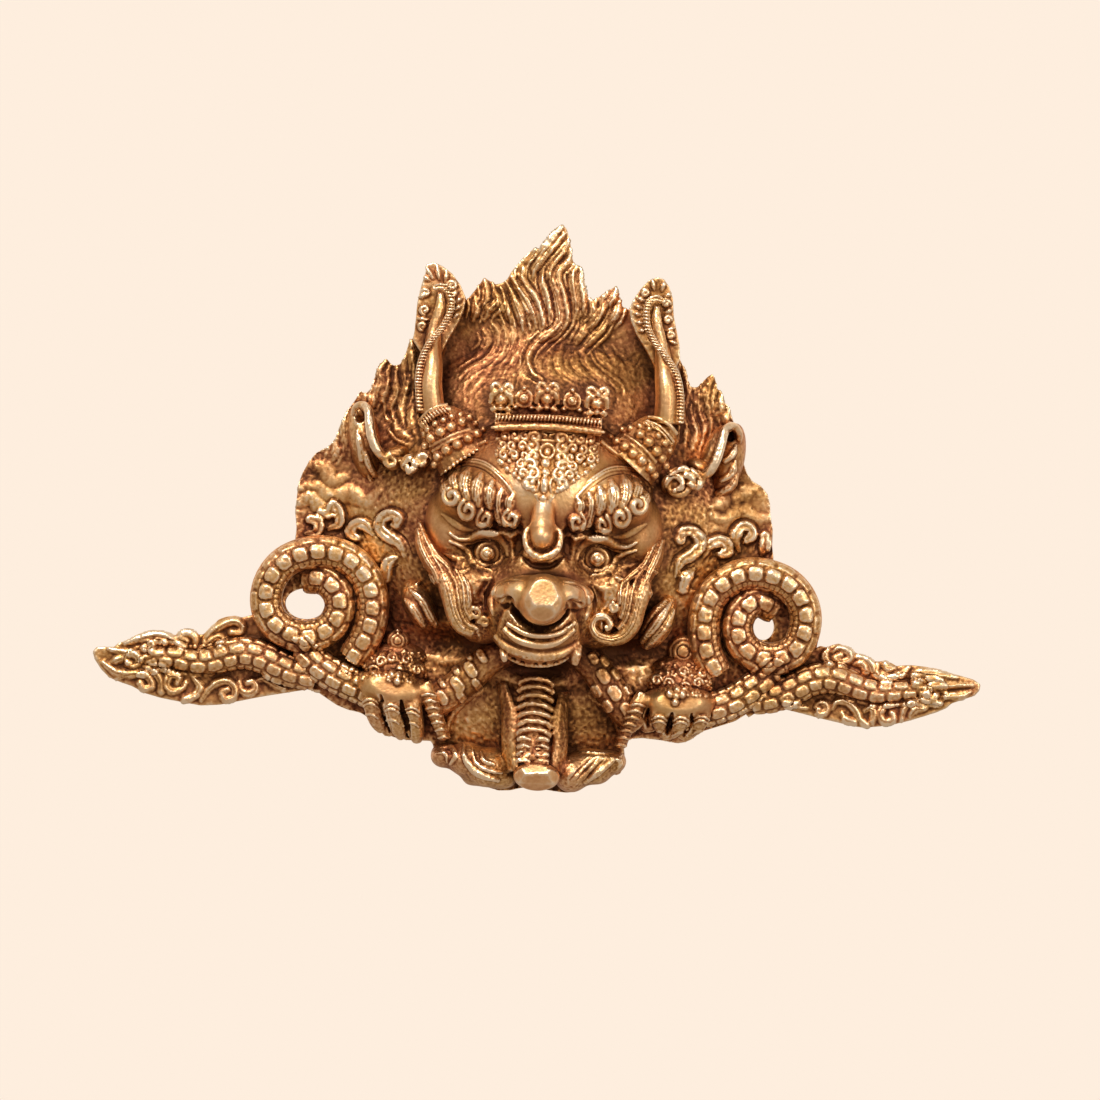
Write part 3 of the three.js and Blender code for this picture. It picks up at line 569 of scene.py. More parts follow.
CREST_LOCKS = [
    [(1, 43), (-2, 39.6), (-4.3, 35.5), (-6, 32.4)],
    [(1.6, 41.2), (-0.6, 38.3), (-3, 35.5), (-5, 32.5), (-6.3, 30.5), (-6.5, 28)],
    [(3, 39.2), (1.6, 36), (-0.6, 32.8), (-1.8, 29.6), (-0.6, 26.9), (0.5, 23.3), (1.2, 20.1),
     (1.6, 16.9), (0.5, 14.2), (-2.5, 11.9), (-5.2, 9.2), (-6.5, 6.5), (-6.8, 4.2), (-5.2, 1.5),
     (-2.5, -0.1)],
    [(3.9, 36.9), (3, 33.3), (0.7, 30.5), (0.5, 27.8), (1.9, 24.6), (2.8, 21.5), (3.5, 18.7), (3.2, 16),
     (1.6, 13.7), (-0.6, 11.5), (-3, 9)],
    [(5.7, 31.9), (4.6, 29.6), (5, 26.5), (5.7, 23.3), (6.2, 20.1), (5.7, 16.9)],
    [(6.9, 31.5), (6.9, 27.8), (7.5, 24.2), (8, 20.5), (6.6, 17.4)],
    [(-9.3, 31), (-9.5, 28.3), (-7.9, 25.5), (-5.6, 22.8), (-4.3, 20.1), (-3.4, 16.9), (-3.1, 14.6),
     (-3.8, 12.4), (-5.2, 10.5)],
    [(-12.5, 28.3), (-10.6, 25.5), (-8.4, 22.4), (-6.5, 19.2), (-5.2, 16.5), (-4.7, 14.2)],
    [(-3.8, 30.6), (-3.6, 27), (-2.4, 23.5), (-1.6, 20), (-1.2, 16.8)],
    [(-10.2, 23.3), (-8.3, 19.6), (-7, 16.6)],
    [(-12.6, 24.4), (-10.8, 20.5), (-9.4, 17), (-8.6, 13.6)],
    [(-14.4, 23), (-13.4, 19), (-12, 15.6)],
    [(-20, 26.9), (-19.3, 23.3), (-19.7, 20.5), (-21.5, 17.4)],
    [(-17.2, 24.2), (-16.1, 21.5), (-18.4, 18.7), (-19.5, 16)],
    [(-15.4, 22.4), (-15, 19.6), (-16.6, 17.2)],
    [(-22.4, 22), (-22, 18.6), (-22.8, 15.5)],
    [(-17, 14.6), (-15.6, 12.8), (-15.2, 10.1), (-16.5, 6.9), (-18.8, 4.2), (-22, 2.4), (-24.8, 0.6)],
    [(-14, 14.2), (-13.1, 11.5), (-13.4, 8.7), (-14.7, 6), (-17.5, 3.7)],
    [(-11.8, 14.2), (-11.3, 11.5), (-12, 8.7), (-13.2, 6.2)],
    [(-19.6, 13), (-18.4, 10.4), (-19.4, 7.4), (-21.6, 5.6)],
    [(-9.6, 12.4), (-9.2, 9.4), (-10.4, 6.4), (-11.6, 4)],
    [(-7.2, 12), (-7.4, 9.4), (-8.9, 6.8)],
    [(0.5, 7.8), (-0.9, 5.1), (-0.6, 2.4), (1.2, 0.5)],
    [(-1.8, 7), (-3.4, 4.4), (-2.4, 1.8), (0.4, 0.2)],
    [(2.6, 9.6), (1.6, 6.2), (2.4, 3), (5, 0.6)],
    [(4.8, 6.9), (3.9, 4.2), (5.3, 1.9), (8, 0.5), (10.3, 0.1)],
    [(6.6, 8), (6.4, 5), (8.4, 2.6), (12, 0.4)],
    [(8.9, 7.8), (10.3, 4.6), (12.5, 2.4), (15.7, 0.1), (18.5, -1.7), (18.9, -4)],
    [(12.4, 0.6), (15.4, -1.4), (17, -3.4), (17, -6)],
    [(8.9, 16.9), (8.5, 14.2), (7.1, 11.5), (6.2, 9.6)],
    [(15.7, 18.7), (13.9, 15.1), (10.7, 11.5), (8, 8.3)],
    [(17.1, 26.5), (16.2, 23.3), (13.9, 20.5)],
    [(18.2, 22.4), (17.4, 19), (15.6, 16.4)],
    [(13.5, 24.2), (13.5, 20.5), (11.6, 16.9), (8.9, 14.2)],
    [(10.6, 22.4), (11.2, 19.4), (9.8, 16.2)],
    [(12.5, 9.6), (13.9, 6.9), (17.1, 4.2)],
    [(15.4, 9.2), (16.8, 7), (19.8, 5)],
    [(-9.7, 3.3), (-11.1, 0.5), (-11.5, -3)],
    [(-7.5, 5.1), (-8.4, 2.8), (-7.5, 0.5), (-5.6, -0.8)],
    [(-12, 3.2), (-13.4, 0.6), (-14.4, -2.6)],
    [(-13.8, 3.7), (-15.2, 1), (-17, -1.3), (-18.4, -4)],
    [(-16.1, 1.9), (-18.8, -0.4), (-21.5, -3.1), (-22.9, -5.4)],
    [(-18.8, 2.4), (-22, 0), (-24.6, -2.6)],
]


crest = fuse("flame_crest", [sawn(CREST_EDGE, 0, PLATE)], 0.34)
wax = Wax(crest)
wax.swell(0, -14, 42, 24, 12)
wax.write()
cut_flames(wax, CREST_LOCKS, 2, 24)
cast(crest, 0.1)


# Serpent. A round scaled body of brass, modelled in wax rope and pressed onto the plate. On each side it
# coils once round an open eye, runs under the hand that grips it, and ends in the long tail. A row of big
# scales lies along the top, smaller ones at the sides, and narrow belly bars inside the coils.

def rod(points, thick):
    """Round rod along x, z, proud points; thick is its half thickness at each of them"""
    halves = np.broadcast_to(thick, len(points))
    line = spline([(*point, half) for point, half in zip(points, halves)], step=0.8)
    wire = bpy.data.curves.new("rod", "CURVE")
    wire.dimensions = "3D"
    wire.bevel_depth = MM
    wire.bevel_resolution = 5
    wire.use_fill_caps = True
    path = wire.splines.new("POLY")
    path.points.add(len(line) - 1)
    for point, (x, z, proud, half) in zip(path.points, line):
        point.co = (x * MM, -proud * MM, z * MM, 1)
        point.radius = max(half, 0.05)
    alone(placed("rod", wire))
    bpy.ops.object.convert(target="MESH")
    return bpy.context.object


def flat(points):
    """The same points as seen from the front"""
    return [(x, z) for x, z, *_ in points]


def flipped(points, side):
    """The same points for side 1, and their mirror image for side -1"""
    return [(side * x, *rest) for x, *rest in points]


def cut_scales(wax, path, half, rows):
    """Rows of pillowed scales along a body. A row is its place across the body, half its width, the
    scales' pitch in mm, their rise and their shift along the row."""
    where, side, _, along, length = wax.near(path, half)
    body = side / half
    for centre, width, pitch, rise, shift in rows:
        u = ((along / pitch + shift) % 1 - 0.5) / 0.45
        v = (body - centre) / width
        pillow = rise * np.clip(1.6 * (1 - u ** 4 - v ** 4), 0, 1) * (1 - 0.3 * (u * u + v * v) / 2)
        wax.up[where] = np.maximum(wax.up[where], pillow)
    wax.push()


BODY = 4.6
GRIPPED_BODY = 4.5
COIL_ROWS = [
    (0, 0.45, 5, 0.85, 0), (-0.7, 0.2, 5, 0.4, 0.5), (0.64, 0.15, 1.9, 0.22, 0), (0.88, 0.1, 5, 0.3, 0.3),
]
LEFT_COIL = [
    (-65.5, -58.9, 3.6), (-60.5, -59.4, 6), (-57, -62.6, 7), (-55.9, -67, 7.2), (-57.6, -71.6, 7.2),
    (-61.2, -74.6, 7.2), (-66, -75.6, 7.2), (-71.3, -74.2, 7.4), (-75.4, -70.6, 7.4), (-76.9, -65.6, 7.6),
    (-75.8, -60, 7.8), (-72.4, -55.2, 8), (-67, -52.3, 8), (-60.6, -51.4, 8), (-54, -53.3, 8),
    (-49.4, -57.6, 8.2), (-47.1, -63, 8.4), (-46.8, -69, 8.4), (-48.4, -75, 8), (-51.6, -81, 7),
]
RIGHT_COIL = [
    (65.5, -61, 3.4), (61, -59.3, 5.6), (57, -62, 6.8), (55.6, -67, 7.2), (57.4, -72, 7.2),
    (61.8, -75, 7.2), (67, -75.2, 7.4), (71.8, -72.8, 7.4), (74.2, -68.2, 7.6), (74.6, -62.6, 7.8),
    (72.6, -57.6, 8), (68.6, -53.8, 8), (63, -51.9, 8), (57, -52, 8), (51.6, -54.6, 8.2),
    (48, -58.6, 8.4), (46.4, -63.6, 8.4), (46.3, -69, 8.4), (47.4, -74.6, 8), (50.4, -80, 7),
]
LEFT_GRIPPED = [(-40, -93, 9), (-48, -89.6, 8.4), (-56, -86.4, 7.6), (-62, -83, 6.6), (-66, -79.6, 5)]
RIGHT_GRIPPED = [(41, -93, 9), (49, -90.4, 8.4), (55.5, -87.6, 7.6), (61, -83.8, 6.6), (66, -79.4, 5)]
GRIPPED_ROWS = [
    (-0.36, 0.3, 5, 0.7, 0), (0.36, 0.3, 5, 0.7, 0.4), (0.84, 0.14, 3, 0.5, 0), (-0.84, 0.14, 3, 0.5, 0),
]
LEFT_NECK = [(-8, -76, 12), (-13, -79, 12.5), (-18.5, -84, 12.5), (-24.5, -89.6, 12), (-30, -93, 10)]
RIGHT_NECK = [(10, -75, 12), (15.5, -79.4, 12.5), (20, -85, 12.5), (24.6, -91, 12), (29, -95, 10)]
LEFT_NECK_SCALES = [
    (-15.4, -78.6, 1.5), (-18.4, -82.4, 2), (-21.9, -86.7, 2.1), (-16.6, -86.4, 1.4), (-20.8, -90, 1.5),
    (-22.6, -82.6, 1.3), (-26, -90.6, 1.8), (-19.4, -78.4, 1.2), (-26.4, -86.4, 1.2),
]
RIGHT_NECK_SCALES = [
    (15.6, -77.6, 1.4), (18.7, -82.4, 2), (22, -86.9, 2.1), (17, -86.6, 1.5), (20.4, -90.6, 1.4),
    (22, -81.8, 1.3), (25.6, -91.4, 1.8), (18.6, -78.4, 1.2), (25.8, -86, 1.2),
]


def make_serpent(side, coil, gripped, neck, neck_scales, rows):
    """The serpent of one side: its coil, the length in the hand and the neck by the beak"""
    parts = [rod(coil, BODY), rod(gripped, GRIPPED_BODY), rod(neck, BODY)]
    serpent = fuse(f"serpent_{side}", parts, 0.36)
    wax = Wax(serpent)
    cut_scales(wax, flat(coil), BODY, rows)
    cut_scales(wax, flat(gripped), BODY, GRIPPED_ROWS)
    for x, z, half in neck_scales:
        wax.ridge([(x - 0.5, z + 0.7), (x + 0.5, z - 0.7)], half * 0.85, 0.8, ends=(1, 1), shape="flat")
    wax.roughen(0.8, 0.14, 5)
    wax.push()
    cast(serpent, 0.3)


make_serpent("left", LEFT_COIL, LEFT_GRIPPED, LEFT_NECK, LEFT_NECK_SCALES, COIL_ROWS)
make_serpent("right", RIGHT_COIL, RIGHT_GRIPPED, RIGHT_NECK, RIGHT_NECK_SCALES, flipped(COIL_ROWS, -1))


# Tails. The serpent's tail thins out over a long flat leaf of the plate, edged with rolled fronds. Leaf
# and tail are one brass casting, modelled together in wax, and the fronds are cut in with a burin.
LEFT_TAIL_EDGE = [
    (-58, -88), (-61, -91.2), (-63.7, -90.3), (-69.8, -91.6), (-75.7, -92.8), (-80.3, -93.9),
    (-84.8, -95), (-88.5, -95.9), (-94, -96.4), (-100.7, -95.5), (-105.3, -94.8), (-109.8, -93.7),
    (-113.5, -91.9), (-116.6, -91), (-120, -89.8), (-122.5, -87.5), (-124.4, -84.8), (-125, -82.8),
    (-124.1, -81.4), (-121.6, -81.2), (-119.4, -81.4), (-117.8, -79.8), (-114.8, -79.1), (-112.5, -77.5),
    (-109.8, -76.4), (-107.1, -76.2), (-104.4, -76.6), (-102.1, -77), (-100.7, -76.2), (-98.9, -75.6),
    (-97.1, -75.7), (-96, -76.5), (-94.4, -76.5), (-92.1, -74.4), (-90, -71.9), (-88, -71.1),
    (-85.7, -70.7), (-83.5, -71.1), (-80, -70), (-74, -74), (-62, -80),
]
LEFT_TAIL = [
    (-62, -86.6, 5), (-68, -85.6, 5.4), (-72.5, -84, 5.4), (-77, -82, 5.2), (-82, -81, 5),
    (-87, -82, 4.8), (-92, -83.7, 4.6), (-97, -84, 4.4), (-102, -83.2, 4.2), (-107, -83.3, 4),
    (-111, -84.6, 3.6),
]
LEFT_TAIL_HALF = [4, 4.4, 4.5, 4.5, 4.5, 4.2, 3.6, 3, 2.5, 1.9, 0.9]
LEFT_FRONDS = [
    [(-120.5, -81.8), (-116.8, -82.4), (-113.2, -82.8), (-111.9, -84.4), (-113, -86.2), (-114.9, -85.7)],
    [(-119.8, -85.6), (-118, -84.6), (-116.4, -84)],
    [(-122, -85.6), (-118.4, -88), (-114.2, -88.6), (-111.4, -88)],
    [(-112.5, -78.9), (-110.4, -79), (-108.4, -79.6), (-108.9, -81.2), (-110.6, -81.2)],
    [(-108.4, -79.4), (-106.8, -78.4), (-105, -79)],
    [(-116, -80), (-112, -78.4), (-107.4, -77.2), (-103.4, -78), (-99.4, -80.4)],
    [(-96.2, -80), (-96.4, -77.6), (-97.6, -76.4), (-99.6, -76.4), (-100.6, -77.8), (-99, -78.4)],
    [(-94.1, -80.3), (-93.4, -77.6), (-91, -75), (-88, -73), (-85.4, -72.3), (-83.4, -73.4),
     (-84.2, -75.6), (-86.2, -75.4)],
    [(-95.2, -81), (-92.6, -78.6), (-90, -76.8), (-88.4, -77.6), (-89.4, -79)],
    [(-118, -90), (-114.4, -88.4), (-111, -88.3), (-108.4, -89.8), (-108.2, -91.8), (-110.2, -92.2),
     (-111.2, -90.8)],
    [(-110.3, -86.4), (-107.4, -87.6), (-105.6, -90), (-105.2, -93)],
    [(-108.6, -85.6), (-105, -86.2), (-103.2, -88.8), (-104.2, -91.4)],
    [(-98.4, -90.2), (-99.6, -92), (-102.4, -92.6), (-104, -90.6), (-102.8, -88.4), (-100.6, -88.6),
     (-100.8, -90.4)],
    [(-96.4, -88.6), (-94.4, -91), (-95.6, -93.6), (-98.6, -95)],
    [(-94, -95), (-92.4, -92.4), (-90, -90), (-86.8, -89.2), (-84.6, -91), (-84.8, -93.4), (-87, -94.2),
     (-88, -92.6), (-86.6, -91.6)],
    [(-83.4, -89.2), (-82.6, -91.6), (-80.6, -92.2), (-79, -91), (-79.4, -89.2), (-81, -89.4)],
    [(-78.4, -88.6), (-76, -88), (-73.4, -89.4), (-71, -90.4)],
]
RIGHT_TAIL_EDGE = [
    (76, -73), (79.5, -71.1), (81.1, -71.5), (82.9, -70.7), (84.6, -70.2), (86.5, -71), (89.3, -72.5),
    (91.5, -73.5), (93.8, -74.6), (95.6, -74.8), (97.5, -74.5), (99.7, -75), (101.1, -75.8),
    (102.9, -75.5), (105.2, -75.3), (109.7, -75.6), (114.3, -76.6), (118.8, -77.5), (122.9, -78.5),
    (124.9, -79.8), (124.6, -81.6), (123.4, -83), (120.6, -84.1), (117, -85.5), (115.6, -86.9),
    (112.9, -88.2), (109.7, -89.4), (105.2, -91), (100.6, -92.3), (96.1, -93.1), (92, -93.5),
    (89.3, -93.2), (84.7, -92.3), (80.2, -91.5), (75.6, -90.5), (71.1, -89.6), (67.5, -89.1),
    (64.1, -89.8), (62.2, -90.8), (60.2, -92.2), (56, -88), (64, -78),
]
RIGHT_TAIL = [
    (61, -87.4, 5), (67, -86, 5.4), (72, -83.6, 5.4), (77, -80.9, 5.2), (82, -80, 5), (87, -80.9, 4.8),
    (92, -82.6, 4.6), (97, -83.2, 4.4), (102, -82.6, 4.2), (107, -82.1, 4), (111, -82.6, 3.6),
]
RIGHT_TAIL_HALF = [4, 4.4, 4.5, 4.4, 4.2, 3.8, 3.2, 2.8, 2.3, 1.8, 0.9]
RIGHT_FRONDS = [
    [(122.6, -80), (118, -80.2), (113.6, -80.4), (110.6, -81.2), (109.8, -83.2), (111.4, -84.6),
     (112.4, -83.2)],
    [(122, -82), (119, -83.2), (115.4, -83.4)],
    [(118, -78.2), (113.6, -77.6), (109, -77.2), (106.2, -77.8), (106.4, -79.6), (108, -79.4)],
    [(116, -79.4), (112.4, -79), (109.6, -79)],
    [(104.4, -76), (102.6, -77.8), (99.6, -78.8), (97, -78)],
    [(100.4, -76.4), (98.4, -76.6), (97.8, -75.6)],
    [(95.6, -75.4), (95.4, -77.6), (97, -79.2), (99.4, -80)],
    [(83, -72.6), (84.6, -71.6), (87.4, -72.6), (87.8, -74.4), (85.8, -75.4), (83.8, -74.4), (85, -73.4)],
    [(88.8, -73.9), (91, -73.9), (93.6, -75.4), (94.8, -77.6), (96.6, -79.4)],
    [(81.6, -71.9), (80.8, -74), (82, -76)],
    [(89, -75.8), (91.2, -75.6), (92.6, -77.6)],
    [(78.8, -88.4), (80, -87.2), (81.8, -87.8), (81.6, -89.6), (79.8, -90), (79.6, -88.8)],
    [(83.6, -88.6), (84.8, -86.6), (87.6, -86.6), (90, -88.6), (91.6, -91.4), (93.4, -92.6)],
    [(86.4, -89.8), (87.6, -91.4), (90, -92)],
    [(92.6, -88.8), (94.4, -87.8), (95.4, -89.6), (94.8, -91.6)],
    [(101.6, -86.6), (98.2, -87.4), (97, -89.6), (98.4, -91.4), (100.6, -90.8), (100.4, -89)],
    [(103, -91), (103.8, -87.6), (106, -85.8), (109.4, -85.2), (113.4, -85.8)],
    [(105.4, -89.6), (106.6, -87.8), (109.4, -87)],
    [(76.4, -88.8), (73.4, -88.2), (70.4, -88)],
]
TAIL_ROWS = [
    (-0.36, 0.31, 4.6, 0.6, 0), (0.36, 0.31, 4.6, 0.6, 0.5), (0.86, 0.13, 3.2, 0.4, 0),
    (-0.86, 0.13, 3.2, 0.4, 0.5),
]


def make_tail(side, edge, line, halves, fronds):
    """The leafy tail of one side, with scales along its middle and fronds beside it"""
    tail = fuse(f"tail_{side}", [sawn(edge, 0, 4), rod(line, halves)], 0.34)
    wax = Wax(tail)
    cut_scales(wax, flat(line), 4.5, TAIL_ROWS)
    for frond in fronds:
        wax.ridge(frond, 1.5, 1.25, ends=(0.5, 0.9))
    wax.push()
    for frond in fronds:
        wax.groove(beside(frond, 0.3), 0.4, 0.3)
    wax.roughen(0.8, 0.13, 6)
    wax.push()
    cast(tail, 0.2)


make_tail("left", LEFT_TAIL_EDGE, LEFT_TAIL, LEFT_TAIL_HALF, LEFT_FRONDS)
make_tail("right", RIGHT_TAIL_EDGE, RIGHT_TAIL, RIGHT_TAIL_HALF, RIGHT_FRONDS)


# Head. A big hollow casting in high relief: a round skull with two swollen brows, a hooked beak of a nose
# over the closed upper lip, round eyes in folded lids and a polished drop between the brows. Forehead,
# cheeks and nose are burnished smooth, and the hollows are left rough and dark.

def lump(x, z, proud, across, up, out, turn=0):
    """Egg-shaped lump with the given half sizes, turned clockwise as seen from the front"""
    bpy.ops.object.select_all(action="DESELECT")
    bpy.ops.mesh.primitive_uv_sphere_add(segments=40, ring_count=24, radius=MM)
    piece = bpy.context.object
    piece.scale = (across, out, up)
    piece.rotation_euler.y = math.radians(turn)
    piece.location = (x * MM, -proud * MM, z * MM)
    bpy.ops.object.transform_apply()
    return piece


def both(shapes):
    """Each shape, and its mirror image on the other side of the face"""
    return [lump(side * x, *sizes, side * turn) for x, *sizes, turn in shapes for side in (1, -1)]


CURL_POINTS = 17
CURL_SHRINKS = 0.72


def rolled(x, z, radius, start, turns):
    """Points of a curl that winds in from a start angle, in degrees; negative turns wind clockwise"""
    curl = []
    for t in np.linspace(0, 1, CURL_POINTS):
        reach = radius * (1 - CURL_SHRINKS * t)
        angle = math.radians(start) + 2 * math.pi * turns * t
        curl.append((x + reach * math.cos(angle), z + reach * math.sin(angle)))
    return curl


def resting(line, shape, lift):
    """The points of a line at this height above a lump"""
    x0, z0, proud, across, up, out = shape
    dome = [math.sqrt(max(0, 1 - ((x - x0) / across) ** 2 - ((z - z0) / up) ** 2)) for x, z in line]
    return [(x, z, proud + lift + out * high) for (x, z), high in zip(line, dome)]


def ring(x, z, radius):
    """Closed round line"""
    return oval(x, z, radius, radius, 20) + [(x + radius, z)]


def hollow_out(wax, opening, depth):
    """Push the flat back in to an egg-shaped hollow"""
    away = wax.away(**opening)
    deep = depth * np.sqrt(np.clip(1 - away, 0, 1))
    inside = (wax.normal[:, 1] > 0) & (wax.proud < 4) & (away < 1)
    wax.place[inside, 1] = -deep[inside]
    wax.write()


SKULL = (0, -33, 7, 31, 24, 29.5)
FACE = (0, -55, 6, 28, 23, 25.5)
MUZZLE = (0, -66.4, 23, 15, 13.6, 15.5)
TEMPLE = (25.5, -42, 16, 8, 12.5, 11, 0)
CHEEK = (20.5, -58, 15, 8.5, 11, 12.6, 0)
JOWL = (15.5, -67.5, 13, 8, 8, 12, 0)
BROW = (17.8, -33, 24, 12.4, 7.8, 11.4, 14)
NOSE = [
    (0.6, -60.2, 35, 14.4, 5.4, 8.4), (0.8, -62, 40, 7, 6.8, 10.8), (-5, -60, 37, 5.8, 4.8, 8.4),
    (6.2, -60, 37, 5.8, 4.8, 8.4), (0.8, -58.8, 39.4, 5.6, 4.4, 10.4),
]
NOSE_FLATS = [
    (0.6, -58.4, 47.8, 0, -0.2, 5), (-3.4, -62.6, 47.8, 0.6, 0.16, 6.5),
    (5, -62.6, 47.8, -0.6, 0.16, 6.5), (0.8, -65, 47.8, 0, 0.62, 5),
]
BROW_LOCKS = [
    dict(lock=[(27.8, -27.6), (28.8, -30.4), (27.4, -33.4)], curl=(25, -34.3, 2.1), half=1.8),
    dict(lock=[(24.6, -26), (25.6, -29), (24.6, -32.6)], curl=None, half=2),
    dict(lock=[(21.4, -26.4), (22.4, -30.6), (21.4, -34.8)], curl=(21, -37.2, 2.3), half=2.1),
    dict(lock=[(18, -28), (19, -32), (18.4, -36)], curl=None, half=2.1),
    dict(lock=[(14.8, -29.8), (15.6, -33.4), (15, -36.6)], curl=(16.2, -39.2, 2.4), half=2.1),
    dict(lock=[(12, -31.6), (12.9, -34.6), (12.6, -38), (11.8, -40.6)], curl=None, half=1.8),
    dict(lock=[(9, -33.2), (9.8, -35), (9.6, -37)], curl=(8.7, -39.3, 2.3), half=1.6),
]
EYE_FOLDS = [
    ([(26, -44.6), (23.5, -45.9), (20.5, -45.7), (18.5, -44.6), (16, -43.9), (13.4, -44.3), (11.4, -46),
      (10.1, -48), (9.6, -50)], 1.1, 1.4),
    ([(22.6, -47.6), (20, -46.9), (17.6, -46), (15, -45.8), (12.8, -46.8), (11.6, -48.6), (11.4, -50.6)],
     0.7, 1.1),
    ([(26, -46.8), (22.6, -48), (20.6, -49.7), (19.4, -52.2), (17, -53.9), (14, -54.4)], 0.9, 1.2),
    ([(20, -48.6), (19.2, -51), (17.2, -52.6), (14.4, -53), (12, -52), (11, -50.4)], 0.7, 1),
    ([(19.6, -43.6), (23, -42.8), (28.4, -39.4)], 0.9, 0.45),
    ([(21, -50.8), (24, -51.6), (27.4, -50.4)], 0.8, 0.5),
    ([(19.8, -54), (22.6, -55.4), (25.2, -55)], 0.8, 0.5),
]
LIPS_ABOVE = [
    ([(-8.8, -68.6), (-4, -71.2), (1, -71.8), (6, -70.6), (9.9, -67.4)], 0.8, 0.4),
    ([(-9.8, -70.2), (-6.4, -72.8), (-2.6, -74), (1.4, -74.3), (5.6, -73.1), (10, -69.5)],
     [0.7, 1, 1.15, 1.15, 1, 0.7], 0.8),
    ([(-12, -72.2), (-8.4, -75.2), (-3, -76.8), (1.2, -77.2), (6.4, -76.2), (11.4, -73)],
     [0.8, 1.5, 1.8, 1.8, 1.6, 0.8], 0.1),
    ([(-8.8, -78), (-4, -79.6), (1, -79.9), (5.6, -79), (8.6, -77.4)], [0.6, 0.9, 0.9, 0.9, 0.6], 0.3),
]
TOOTH_GAPS = [(-6.6, -79), (-4.2, -79.9), (-0.4, -80.3), (2.2, -80), (5.4, -79.6), (7.6, -78.6)]
EYE = (15.3, -49.7)
PUNCHES = 110
SMOOTH = [
    (0, -28, 22, 11), (0, -38, 5.5, 9), (0.5, -60.5, 15, 7.5), (-25, -41, 9, 7), (25, -41, 9, 7),
    (-30, -42, 4, 10), (30, -42, 4, 10), (0, -73.5, 10, 4), (-15.3, -48, 5, 4), (15.3, -48, 5, 4),
]

bulk = fuse("head", [lump(*SKULL), lump(*FACE), lump(*MUZZLE), *both([TEMPLE, CHEEK, JOWL, BROW])], 0.5)
wax = Wax(bulk)
wax.soften(0, -45, 44, 46, 36)
for side in (1, -1):
    wax.pit(14 * side, -50, 8.6, 3.4)
    wax.groove(flipped([(19, -42.4), (13, -42.6), (7.4, -43)], side), 2.6, 3, ends=(0.2, 1))
    wax.groove(flipped([(7.4, -43), (7.2, -47), (8.4, -51.6)], side), 2.8, 2.4)
    wax.groove(flipped([(13, -56), (15.6, -60), (15.8, -65)], side), 2, 1.6)
    wax.groove(flipped([(10, -64), (12.4, -68), (12.6, -73)], side), 1.8, 1.2)
wax.push()
parts = [
    bulk, *(lump(*shape) for shape in NOSE),
    rod([(-0.2, -29.6, 33), (-0.2, -34, 34.2), (-0.3, -38.6, 36.4), (-0.3, -42, 38.6), (-0.3, -44.6, 39)],
        [2, 2.8, 3.3, 3.6, 3.4]),
    lump(-0.3, -44, 38.4, 3.5, 4, 5),
    rod([(-3.1, -40.9, 38.6), (-4.8, -43, 39.2), (-4.6, -46.6, 39.8), (-2.8, -49.2, 40),
         (-0.1, -50.1, 40), (2.6, -49.2, 40), (4.5, -46.6, 39.8), (4.6, -43, 39.2), (3, -41, 38.6)],
        [0.5, 0.75, 0.9, 1.1, 1.2, 1.1, 0.9, 0.75, 0.5]),
    rod([(11.2, -74, 29), (10.8, -76.6, 30.6), (10.5, -79.4, 30)], [1.2, 1.4, 0.9]),
    rod([(-9.8, -76, 29), (-9.2, -78, 30.4), (-9, -79.4, 30)], [1, 1.1, 0.7]),
]
parts += [rod(resting(line, MUZZLE, lift), half) for line, half, lift in LIPS_ABOVE]
parts += both([(15.3, -49.6, 21.6, 4.2, 4, 5.4, 0)])
head = fuse("head", parts, 0.36)
wax = Wax(head)
wax.soften(0.6, -60.4, 16.4, 8, 16)
wax.soften(-0.3, -36, 8, 8, 12)
for flat_place in NOSE_FLATS:
    wax.facet(*flat_place)
wax.soften(0.6, -61, 8, 8, 2)
for side in (1, -1):
    wax.groove(flipped([(6, -49.6), (3, -52), (0, -52.6)], side), 1.1, 1.2, ends=(0.4, 1))
    wax.groove(flipped([(11.4, -62.6), (9, -63.2), (7.2, -65.2), (4.6, -68), (1.4, -69.6), (-1, -69.7)],
                       side), 1.3, 3.2, ends=(0.7, 1))
    wax.pit(9.2 * side, -63, 2.3, 3.8)
wax.push()
for side in (1, -1):
    for brow in BROW_LOCKS:
        wax.ridge(flipped(brow["lock"], side), brow["half"], 1.5, ends=(0.4, 0.8))
        if brow["curl"]:
            x, z, radius = brow["curl"]
            wax.ridge(flipped(rolled(x, z, radius, 60, -1.15), side), 0.95, 2.3, ends=(0.8, 0.9),
                      shape="round")
    for fold, half, rise in EYE_FOLDS:
        wax.ridge(flipped(fold, side), half, rise, shape="round")
    wax.ridge(flipped([(27, -25.8), (22.6, -24.2), (17.2, -24.8), (12.4, -28.4), (8.6, -33)], side),
              0.8, 0.7)
    wax.bead(EYE[0] * side, EYE[1], 2.4, 0.9)
    wax.ridge(flipped([(16.4, -64.6), (17.4, -69.6), (16, -73.4)], side), 0.8, 1)
    wax.ridge(flipped([(13.2, -60), (13.6, -63.4), (12.8, -66.6)], side), 0.7, 1)
    wax.ridge(flipped([(14.4, -57.6), (16, -61.4), (15.6, -65)], side), 0.8, 1)
wax.push()
